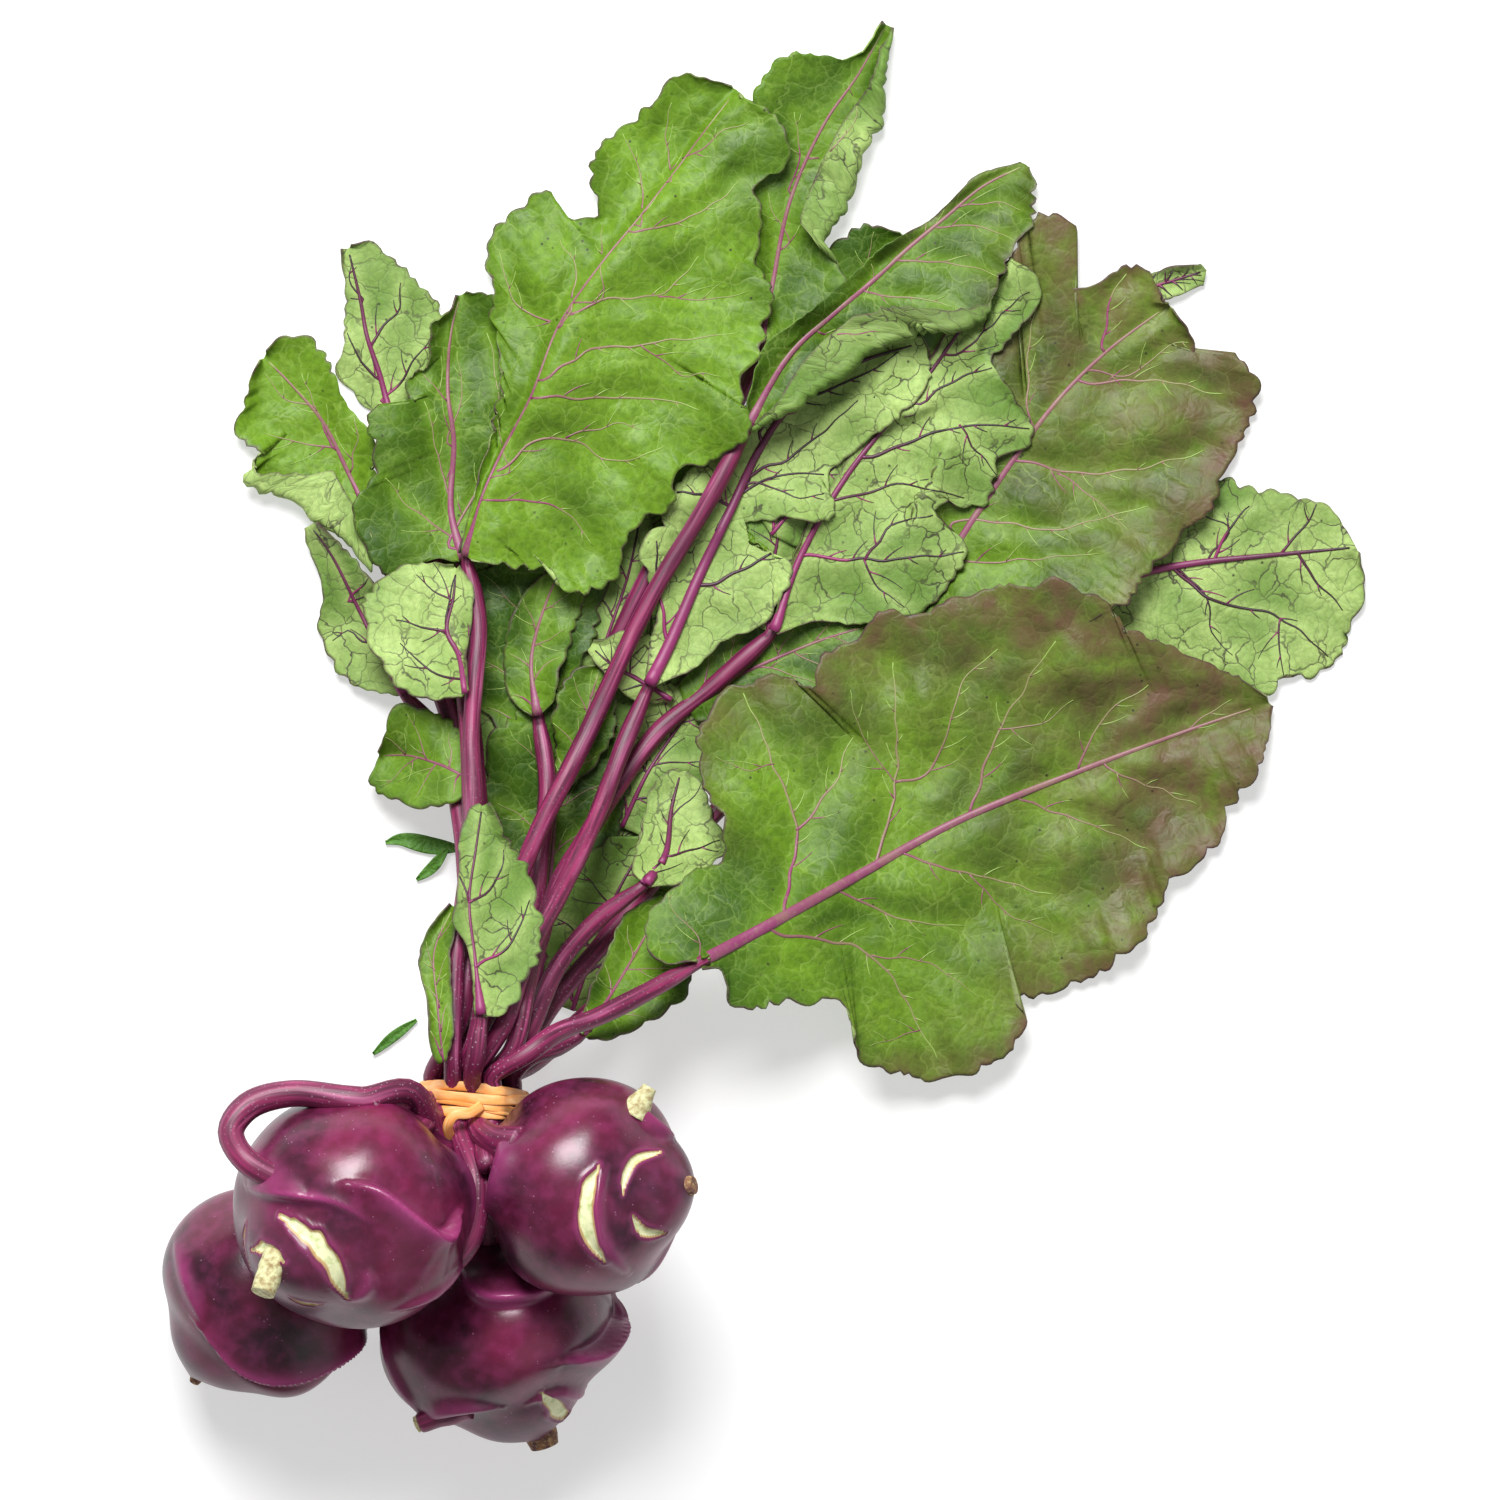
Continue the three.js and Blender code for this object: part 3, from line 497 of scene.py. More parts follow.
@dataclass
class Tube:
    """A round or flattened tube along a path of the plan, closed at both ends.

    Fields:
        path: centre line in millimetres.
        width: half width at each point of the path.
        height: half height at each point.
        sides: vertices round the section.
    """

    path: Array
    width: Array
    height: Array
    sides: int = 10

    def surface(self) -> Array:
        """Works out the skin.

        Returns:
            Points along and round the tube, with the first line of points again at the end.
        """
        side, over = frames_along(self.path)
        angle = np.linspace(0, math.tau, self.sides + 1)[None, :, None]
        return (
            self.path[:, None]
            + np.cos(angle) * side[:, None] * np.broadcast_to(self.width, len(self.path))[:, None, None]
            + np.sin(angle) * over[:, None] * np.broadcast_to(self.height, len(self.path))[:, None, None]
        )

    def add_to(self, shape: Shape, uv: Layer) -> None:
        """Adds the tube to shape.

        Args:
            shape: what the tube is added to.
            uv: UV layer that takes millimetres round and along.
        """
        girth = math.tau * float(np.mean(self.width))
        verts, faces = add_rolled(shape, self.surface(), uv, girth, arc(self.path))
        rims = list({edge for vert in verts for edge in vert.link_edges if edge.is_boundary})
        ends = bmesh.ops.holes_fill(shape, edges=rims, sides=0)["faces"]
        bmesh.ops.recalc_face_normals(shape, faces=faces + ends)


# ---- finishes ---------------------------------------------------------------------------------


def linear(hex_colour: str) -> tuple[float, float, float, float]:
    """An sRGB hex colour as Blender's linear red, green, blue and alpha.

    Args:
        hex_colour: "#" and six hex digits.

    Returns:
        Four numbers from 0 to 1.
    """
    parts = [int(hex_colour[k : k + 2], 16) / 255 for k in (1, 3, 5)]
    turned = [c / 12.92 if c <= 0.04045 else ((c + 0.055) / 1.055) ** 2.4 for c in parts]
    return (*turned, 1.0)


class Graph:
    """A material's nodes, round one Principled shader."""

    def __init__(self, name: str) -> None:
        """Starts the material.

        Args:
            name: the material's name.
        """
        self.material = bpy.data.materials.new(name)
        self.material.use_nodes = True
        self.tree = self.material.node_tree
        self.shader = self.tree.nodes["Principled BSDF"]

    def add(
        self, kind: str, inputs: dict[int | str, Any], out: int | str = 0, stops: Points = (),
        **settings: Any,
    ) -> Socket:
        """Adds a node with its settings and links.

        Args:
            kind: the node's type name after "ShaderNode".
            inputs: value, hex colour or source socket for each input, by name or number.
            out: the output that is wanted, by name or number.
            stops: (position, grey level) of each stop of its colour ramp, if it has one.
            settings: properties of the node.

        Returns:
            The output socket.
        """
        node = self.tree.nodes.new("ShaderNode" + kind)
        for key, value in settings.items():
            setattr(node, key, value)
        for key, value in inputs.items():
            self.feed(node.inputs[key], value)
        if stops:
            elements = node.color_ramp.elements
            for _ in stops[2:]:
                elements.new(0.5)
            for element, (position, level) in zip(elements, stops):
                element.position = position
                element.color = (level, level, level, 1)
        return node.outputs[out]

    def feed(self, socket: Socket, value: Any) -> None:
        """Links a source socket to an input, or sets the input's own value.

        Args:
            socket: the input.
            value: a number, vector, hex colour or source socket.
        """
        if isinstance(value, Socket):
            self.tree.links.new(value, socket)
        else:
            socket.default_value = linear(value) if isinstance(value, str) else value

    def patches(self, place: Socket, unit: float, rows: Rows) -> list[Socket]:
        """Makes soft patches of real sizes, as shares from 0 to 1.

        Args:
            place: the coordinates that they follow.
            unit: how many millimetres one unit of those coordinates is.
            rows: (size in millimetres, detail, stops) of each.

        Returns:
            The shares, in the order of the rows.
        """
        shares = []
        for size, detail, stops in rows:
            noise = self.add("TexNoise", {"Vector": place, "Scale": unit / size, "Detail": detail})
            shares.append(self.add("ValToRGB", {0: noise}, stops=stops))
        return shares

    def layered(self, colour: Any, rows: Rows) -> Any:
        """Lays colours over one another.

        Args:
            colour: the undermost colour, as hex or a source socket.
            rows: (share, weight of that share, colour) of each layer, from below.

        Returns:
            The colour of them all together.
        """
        for share, weight, over in rows:
            share = self.add("Math", {0: share, 1: weight}, operation="MULTIPLY")
            colour = self.add("Mix", {0: share, 6: colour, 7: over}, 2, data_type="RGBA")
        return colour

    def finish(self, **sockets: Any) -> Material:
        """Feeds the shader.

        Args:
            sockets: what each input takes, named with underscores for spaces.

        Returns:
            The finished material.
        """
        for key, value in sockets.items():
            self.feed(self.shader.inputs[key.replace("_", " ")], value)
        return self.material


# Object coordinates hold metres and the UV maps millimetres, so the scale of a pattern is 1000 or 1
# over its size in millimetres.


@dataclass(frozen=True)
class WaxySkin:
    """Living kohlrabi skin: waxed cells, purple where the light reached, dusty with bloom.

    The wax gives broad soft highlights, and the bloom a blue-grey veil. Crests and lips are painted a
    brighter magenta, partly the skin's own colour and partly painted highlight.
    """

    deep: str = "#2b0818"
    body: str = "#6e153b"
    # Brighter magenta of crests and lips: partly the skin's own colour, partly painted highlight.
    crest: str = "#a53c78"
    bloom: str = "#4b3a4b"
    scar: str = "#dde0b2"
    fibre: str = "#8fa655"
    cork: str = "#a8743f"
    speck: str = "#c08fb2"

    def build(self) -> Material:
        """Makes the material from the attributes "crest", "bloom" and "scar".

        Returns:
            The material.
        """
        g = Graph("waxy_kohlrabi_skin")
        place = g.add("TexCoord", {}, "Object")
        crest, bloom, scar = (
            g.add("Attribute", {}, "Fac", attribute_name=name) for name in ("crest", "bloom", "scar")
        )
        blotch, mottle, dusty, few, fibre = g.patches(place, 1000, (
            (26, 4, ((0.35, 0), (0.68, 1))),
            (5, 5, ((0.42, 0), (0.75, 0.25))),
            (12, 6, ((0.3, 0.25), (0.7, 1))),
            (7, 3, ((0.5, 0), (0.62, 0.55))),
            (2.4, 3, ((0.48, 0), (0.8, 0.8))),
        ))
        veil = g.add("Math", {0: bloom, 1: dusty}, operation="MULTIPLY")
        specks = g.add("TexVoronoi", {"Vector": place, "Scale": 1000 / 2.2})
        dots, rim, cut = (
            g.add("ValToRGB", {0: source}, stops=stops)
            for source, stops in (
                (specks, ((0.06, 1), (0.13, 0))),
                (scar, ((0.1, 0), (0.4, 1), (0.72, 1), (0.93, 0))),
                (scar, ((0.3, 0), (0.5, 1))),
            )
        )
        # A leaf scar is pale flesh with green fibres, and it dries to cork along its rim.
        flesh = g.layered(self.scar, ((fibre, 1, self.fibre), (rim, 0.75, self.cork)))
        # Red clouds in the dark purple, bright welts that are partly painted highlight, a fine mottle, the
        # veil of wax, specks, scars.
        colour = g.layered(self.deep, (
            (blotch, 1, self.body),
            (crest, 1, self.crest),
            (mottle, 1, self.crest),
            (veil, 1, self.bloom),
            (dots, few, self.speck),
            (cut, 1, flesh),
        ))
        # Bare skin shines, bloom and scars are dull.
        dull_wax, dull_scar = (
            g.add("Math", {0: source, 1: weight}, operation="MULTIPLY")
            for source, weight in ((veil, 0.5), (scar, 0.6))
        )
        dull = g.add("Math", {0: dull_wax, 1: dull_scar}, operation="ADD")
        rough = g.add("ValToRGB", {0: dull}, stops=((0, 0.27), (1, 0.7)))
        # Shallow dents catch the light in soft patches, and pores break its edge.
        dents, pores = (
            g.add("TexNoise", {"Vector": place, "Scale": 1000 / size, "Detail": detail})
            for size, detail in ((14, 4), (0.9, 3))
        )
        relief = g.add("Bump", {"Height": dents, "Distance": 0.5 * MM, "Strength": 0.35})
        relief = g.add("Bump", {"Height": pores, "Distance": 0.05 * MM, "Strength": 0.4, "Normal": relief})
        return g.finish(Base_Color=colour, Roughness=rough, Normal=relief, Specular_IOR_Level=0.45)


@dataclass(frozen=True)
class PetioleSkin:
    """Smooth leaf stalk: magenta over green flesh, satin, with long fibres that show as streaks, the pale
    pink ones partly painted highlight.
    """

    dark: str = "#4d1030"
    body: str = "#92285a"
    # Pale pink of the streaks: partly the fibres' colour, partly painted highlight.
    light: str = "#c0709a"
    dust: str = "#b9a3b2"
    flesh: str = "#cfd6a0"

    def build(self) -> Material:
        """Makes the material from the attributes "dust" and "scar".

        Returns:
            The material.
        """
        g = Graph("magenta_leaf_stalk")
        place = g.add("TexCoord", {}, "Object")
        # A fibre is twenty times as long as it is wide.
        fibres = g.add("Mapping", {"Vector": g.add("TexCoord", {}, "UV"), "Scale": (1, 0.05, 1)})
        dust, scar = (g.add("Attribute", {}, "Fac", attribute_name=name) for name in ("dust", "scar"))
        streak, pale = g.patches(fibres, 1, (
            (1.3, 3, ((0.35, 0), (0.68, 1))),
            (2.6, 2, ((0.55, 0), (0.75, 0.7))),
        ))
        (cloud,) = g.patches(place, 1000, ((22, 3, ((0.42, 0), (0.7, 0.65))),))
        specks = g.add("TexVoronoi", {"Vector": place, "Scale": 1000 / 1.5})
        dots = g.add("ValToRGB", {0: specks}, stops=((0.1, 1), (0.22, 0)))
        # Bright streaks, pale pink streaks that are partly fibres and partly painted highlight, dark
        # clouds, dots of wax near the band, bare flesh where it is cut.
        colour = g.layered(self.dark, (
            (streak, 1, self.body),
            (pale, 1, self.light),
            (cloud, 1, self.dark),
            (dots, dust, self.dust),
            (scar, 1, self.flesh),
        ))
        relief = g.add("Bump", {"Height": streak, "Distance": 0.12 * MM, "Strength": 0.6})
        return g.finish(Base_Color=colour, Roughness=0.47, Normal=relief, Specular_IOR_Level=0.5)


@dataclass(frozen=True)
class LeafBlade:
    """Brassica leaf: a waxed green blade with a net of veins.

    The upper side is satin and shows its net paler than the green, the underside is dull and grey
    with wax, and its net stands out dark purple.

    Fields:
        name: the material's name.
        dark: green of the deep cells.
        light: green of the clouds and beside the ribs.
        net: colour of the net of small veins.
        net_share: strength of the net.
        blush: colour of the tint where the leaf ages.
        roughness: middle roughness.
        cell_mm: width of the net's cells.
        fine_share: strength of the finer net inside those cells.
        spot: colour of scattered specks of rot.
        dry: colour of the dark margin line, partly a purple-brown rim and partly painted shade of the
            curled edge.
    """

    name: str
    dark: str
    light: str
    net: str
    net_share: float
    blush: str
    roughness: float
    cell_mm: float = 8.5
    fine_share: float = 0.3
    spot: str = "#2c2a1c"
    dry: str = "#4a3038"

    def build(self) -> Material:
        """Makes the material from the attributes "tone", "halo", "blush" and "edge".

        Returns:
            The material.
        """
        g = Graph(self.name)
        uv = g.add("TexCoord", {}, "UV")
        tone, halo, blush, edge = (
            g.add("Attribute", {}, "Fac", attribute_name=name) for name in ("tone", "halo", "blush", "edge")
        )
        cloud, grain, broken, patch, few, uneven_rim_and_shade, rough = g.patches(uv, 1, (
            (34, 4, ((0.36, 0), (0.66, 1))),
            (2.4, 5, ((0.35, 0), (0.72, 0.5))),
            (16, 3, ((0.38, 0.25), (0.62, 1))),
            (10, 8, ((0.3, 0.3), (0.66, 1))),
            (22, 2, ((0.44, 0), (0.56, 0.85))),
            (6, 3, ((0.35, 0.3), (0.6, 1))),
            (11, 3, ((0.3, self.roughness - 0.07), (0.7, self.roughness + 0.08))),
        ))
        # Straight-sided cells are bent by soft noise, so that the net wanders like real veins.
        bend = g.add("TexNoise", {"Vector": uv, "Scale": 1 / 9, "Detail": 3}, "Color")
        bend = g.add("VectorMath", {0: bend, 1: (0.5, 0.5, 0.5)}, operation="SUBTRACT")
        bend = g.add("VectorMath", {0: bend, "Scale": 9}, operation="SCALE")
        bent = g.add("VectorMath", {0: uv, 1: bend}, operation="ADD")
        net, fine = (
            g.add("TexVoronoi", {"Vector": bent, "Scale": cells / self.cell_mm}, feature="DISTANCE_TO_EDGE")
            for cells in (1, 3.1)
        )
        spots = g.add("TexVoronoi", {"Vector": uv, "Scale": 1 / 5})
        lines, threads, dots, margin, puckers, small = (
            g.add("ValToRGB", {0: source}, stops=stops)
            for source, stops in (
                (net, ((0, 1), (0.013, 0.85), (0.033, 0))),
                (fine, ((0, 1), (0.07, 0))),
                (spots, ((0.06, 1), (0.12, 0))),
                # Dark line along the margin: partly a purple-brown rim, partly painted shade of the curled
                # edge.
                (edge, ((0, 0.95), (0.1, 0))),
                (net, ((0, 0), (0.25, 0.75), (0.5, 1))),
                (fine, ((0, 0), (0.3, 1))),
            )
        )
        tone = g.add("Math", {0: cloud, 1: tone}, operation="ADD")
        lines = g.add("Math", {0: lines, 1: broken}, operation="MULTIPLY")
        # Light clouds set by the tone, which darkens low-lying leaves as painted shade, dark grain, pale
        # flesh beside the ribs, the two nets, the tint of age, specks of rot and a dark margin line, partly
        # a purple-brown rim and partly painted shade.
        colour = g.layered(self.dark, (
            (tone, 1, self.light),
            (grain, 1, self.dark),
            (halo, 0.55, self.light),
            (threads, self.fine_share, self.net),
            (lines, self.net_share, self.net),
            (blush, patch, self.blush),
            (dots, few, self.spot),
            (margin, uneven_rim_and_shade, self.dry),
        ))
        # The cells of both nets stand up between their veins.
        relief = g.add("Bump", {"Height": puckers, "Distance": 0.55 * MM, "Strength": 0.55})
        relief = g.add("Bump", {"Height": small, "Distance": 0.14 * MM, "Strength": 0.5, "Normal": relief})
        return g.finish(Base_Color=colour, Roughness=rough, Normal=relief, Specular_IOR_Level=0.26)


@dataclass(frozen=True)
class VeinSkin:
    """Raised leaf vein: firm ribs with a smoother shine than the blade, fading from base to end."""

    name: str
    thick: str
    thin: str

    def build(self) -> Material:
        """Makes the material; the attribute "fade" runs from the thick colour to the thin one.

        Returns:
            The material.
        """
        g = Graph(self.name)
        place = g.add("TexCoord", {}, "Object")
        drift, grain = g.patches(place, 1000, (
            (9, 3, ((0.45, 0), (0.75, 0.18))),
            (1.5, 4, ((0.5, 0), (0.8, 0.2))),
        ))
        fade = g.add("Attribute", {}, "Fac", attribute_name="fade")
        fade = g.add("Math", {0: fade, 1: drift}, operation="ADD")
        colour = g.layered(self.thick, ((fade, 1, self.thin), (grain, 1, self.thin)))
        cells = g.add("TexNoise", {"Vector": place, "Scale": 1000 / 1.2, "Detail": 3})
        relief = g.add("Bump", {"Height": cells, "Distance": 0.08 * MM, "Strength": 0.5})
        return g.finish(Base_Color=colour, Roughness=0.48, Normal=relief)


@dataclass(frozen=True)
class NaturalRubber:
    """Extruded rubber band: soft satin orange with pale drawn lines and deeper orange patches."""

    body: str = "#f09a48"
    pale: str = "#fac586"
    deep: str = "#d9762a"

    def build(self) -> Material:
        """Makes the material.

        Returns:
            The material.
        """
        g = Graph("orange_natural_rubber")
        place = g.add("TexCoord", {}, "Object")
        drawn = g.add("Mapping", {"Vector": g.add("TexCoord", {}, "UV"), "Scale": (1, 0.08, 1)})
        (pale,) = g.patches(drawn, 1, ((0.8, 3, ((0.35, 0), (0.7, 1))),))
        (deep,) = g.patches(place, 1000, ((4, 3, ((0.5, 0), (0.8, 0.4))),))
        # Pale lines that the die drew along the band, and deeper orange patches.
        colour = g.layered(self.body, ((pale, 1, self.pale), (deep, 1, self.deep)))
        lines = g.add("TexNoise", {"Vector": drawn, "Scale": 1 / 0.7, "Detail": 3})
        relief = g.add("Bump", {"Height": lines, "Distance": 0.08 * MM, "Strength": 0.6})
        return g.finish(Base_Color=colour, Roughness=0.46, Normal=relief)


@dataclass(frozen=True)
class CutFlesh:
    """Knife-cut root and stalk ends: pale flesh with fibres, drying to cork, dull and uneven."""

    pale: str = "#cdcc9c"
    dry: str = "#8a6c3e"
    fibre: str = "#7c8a4c"

    def build(self) -> Material:
        """Makes the material.

        Returns:
            The material.
        """
        g = Graph("cut_kohlrabi_flesh")
        place = g.add("TexCoord", {}, "Object")
        (patch,) = g.patches(place, 1000, ((1.8, 5, ((0.4, 0), (0.68, 0.9))),))
        bundles = g.add("TexVoronoi", {"Vector": place, "Scale": 1000 / 1.1})
        bundles = g.add("ValToRGB", {0: bundles}, stops=((0.1, 0.5), (0.3, 0)))
        colour = g.layered(self.pale, ((patch, 1, self.dry), (bundles, 1, self.fibre)))
        torn = g.add("TexNoise", {"Vector": place, "Scale": 1000 / 0.9, "Detail": 5})
        relief = g.add("Bump", {"Height": torn, "Distance": 0.25 * MM, "Strength": 0.8})
        return g.finish(Base_Color=colour, Roughness=0.7, Normal=relief)


@dataclass(frozen=True)
class RootBark:
    """Rough root bark: brown cork over purple, wrinkled as it dries, with no shine."""

    under: str = "#4a2230"
    cork: str = "#8e6640"
    pale: str = "#c6a877"

    def build(self) -> Material:
        """Makes the material.

        Returns:
            The material.
        """
        g = Graph("corky_root_bark")
        place = g.add("TexCoord", {}, "Object")
        cork, pale = g.patches(place, 1000, (
            (3.5, 6, ((0.35, 0), (0.65, 1))),
            (1.3, 4, ((0.5, 0), (0.75, 0.8))),
        ))
        colour = g.layered(self.under, ((cork, 1, self.cork), (pale, 1, self.pale)))
        wrinkles = g.add("TexNoise", {"Vector": place, "Scale": 1000 / 1.1, "Detail": 6})
        relief = g.add("Bump", {"Height": wrinkles, "Distance": 0.5 * MM, "Strength": 0.8})
        return g.finish(Base_Color=colour, Roughness=0.78, Normal=relief)


@dataclass(frozen=True)
class Tabletop:
    """Smooth white board, faintly grained so that it is not one flat value."""

    low: str = "#bcbcbc"
    high: str = "#c0c0c0"

    def build(self) -> Material:
        """Makes the material.

        Returns:
            The material.
        """
        g = Graph("white_board")
        (grain,) = g.patches(g.add("TexCoord", {}, "Object"), 1000, ((120, 3, ((0.3, 0), (0.7, 1))),))
        colour = g.layered(self.low, ((grain, 1, self.high),))
        return g.finish(Base_Color=colour, Roughness=0.9, Specular_IOR_Level=0.1,
                        Emission_Color="#ffffff", Emission_Strength=0.5)


MADE: dict[str, Material] = {}


class Finish(Enum):
    """The finishes of the bunch, with the material slot that each one belongs to."""

    SKIN = ("bulb_skin", WaxySkin())
    STALK = ("stalk_skin", PetioleSkin())
    UPPER = ("leaf_upper", LeafBlade(
        "satin_leaf_upper", dark="#2f4e0a", light="#658a1e", net="#a3bd62", net_share=0.21,
        blush="#5e4733", roughness=0.5, cell_mm=10.5, fine_share=0.1,
    ))
    UNDER = ("leaf_under", LeafBlade(
        "dull_leaf_underside", dark="#5f7f34", light="#a0b86c", net="#2a1820", net_share=0.9,
        blush="#6c6452", roughness=0.62, fine_share=0.2,
    ))
    WEED = ("weed", LeafBlade(
        "weed_leaf", dark="#2f5f1c", light="#5c8f33", net="#7fae55", net_share=0.3,
        blush="#4a5a2c", roughness=0.5, cell_mm=4,
    ))
    PURPLE_VEIN = ("leaf_upper", VeinSkin("purple_vein", "#82305f", "#8aa650"))
    DARK_VEIN = ("leaf_under", VeinSkin("dark_purple_vein", "#8a2c62", "#2e1a24"))
    RUBBER = ("rubber_band", NaturalRubber())
    FLESH = ("bulb_skin", CutFlesh())
    BARK = ("bulb_skin", RootBark())

    @property
    def slot(self) -> str:
        """Material slot in the record."""
        return self.value[0]

    @property
    def material(self) -> Material:
        """The material, made the first time it is asked for.

        Returns:
            The one material of this finish.
        """
        if self.name not in MADE:
            MADE[self.name] = self.value[1].build()
        return MADE[self.name]


# ---- what the bunch is made of ----------------------------------------------------------------


class Side(Enum):
    """Which side of a leaf is seen from above."""

    UPPER = "upper"
    UNDER = "under"


class Margin(Enum):
    """A margin of a leaf, as the number of its half of the sheet."""

    LEFT = 0
    RIGHT = 1


@dataclass(frozen=True)
class Curl:
    """A margin rolled up and over.

    Fields:
        margin: which margin it is.
        radius: the roll's radius in millimetres.
        flap: (share along the leaf, width turned over).
    """

    margin: Margin
    radius: float
    flap: Points


@dataclass(frozen=True)
class Route:
    """Way of a stalk.

    Fields:
        slot: its (column, row) in the band.
        to: the points between the band and the blade.
        start: the points before the band, or none where it starts just below.
    """

    slot: tuple[int, int]
    to: Points
    start: Points = ()


@dataclass(frozen=True)
class Vein:
    """A side vein: its width at the start and its way on the plan."""

    width: float
    path: Points


@dataclass(frozen=True)
class LeafSpec:
    """One leaf from its base to its tip.

    Fields:
        name: the leaf's name in the CAD nodes.
        midrib: line of the midrib.
        left: the left margin.
        right: the right margin.
        up: the side seen from above.
        curl: a rolled margin, or None.
        route: way of the stalk, or None where it is hidden.
        veins: the main side veins; a leaf with none grows them by rule.
        rib: width of the midrib at its base.
        tone: how much lighter than usual the blade is; the strongly negative values of leaves that lie low
            or behind darken them as painted shade.
        blush: purple-brown tint as (share along the leaf, strength).
        rim_blush: strength of that tint along the margins.
        fold: height of the fold that the right half makes along the midrib.
    """

    name: str
    midrib: Points
    left: Points
    right: Points
    up: Side = Side.UPPER
    curl: Curl | None = None
    route: Route | None = None
    veins: tuple[Vein, ...] = ()
    rib: float = 1.8
    tone: float = 0.0
    blush: Points = ((0.0, 0.0), (1.0, 0.0))
    rim_blush: float = 0.0
    fold: float = 0.0


class MarkKind(Enum):
    """What a mark on a bulb does to its skin."""

    SCAR = "scar"
    RIDGE = "ridge"
    FLAP = "flap"
    CREASE = "crease"


@dataclass(frozen=True)
class Mark:
    """A leaf scar, welt, flap or crease on a bulb: its width, its height and its way on the plan."""

    kind: MarkKind
    width: float
    height: float
    path: Points


@dataclass(frozen=True)
class Stub:
    """A cut root or stalk on a bulb: where it starts and ends, its radii there, and its finish."""

    start: tuple[float, float, float]
    end: tuple[float, float, float]
    radii: tuple[float, float]
    finish: Finish


@dataclass(frozen=True)
class BulbSpec:
    """One bulb: its centre, the way to its crown, radius across, half length, and height share."""

    name: str
    centre: tuple[float, float, float]
    crown: tuple[float, float, float]
    radius: float
    half: float
    squash: float
    marks: tuple[Mark, ...] = ()
    stubs: tuple[Stub, ...] = ()


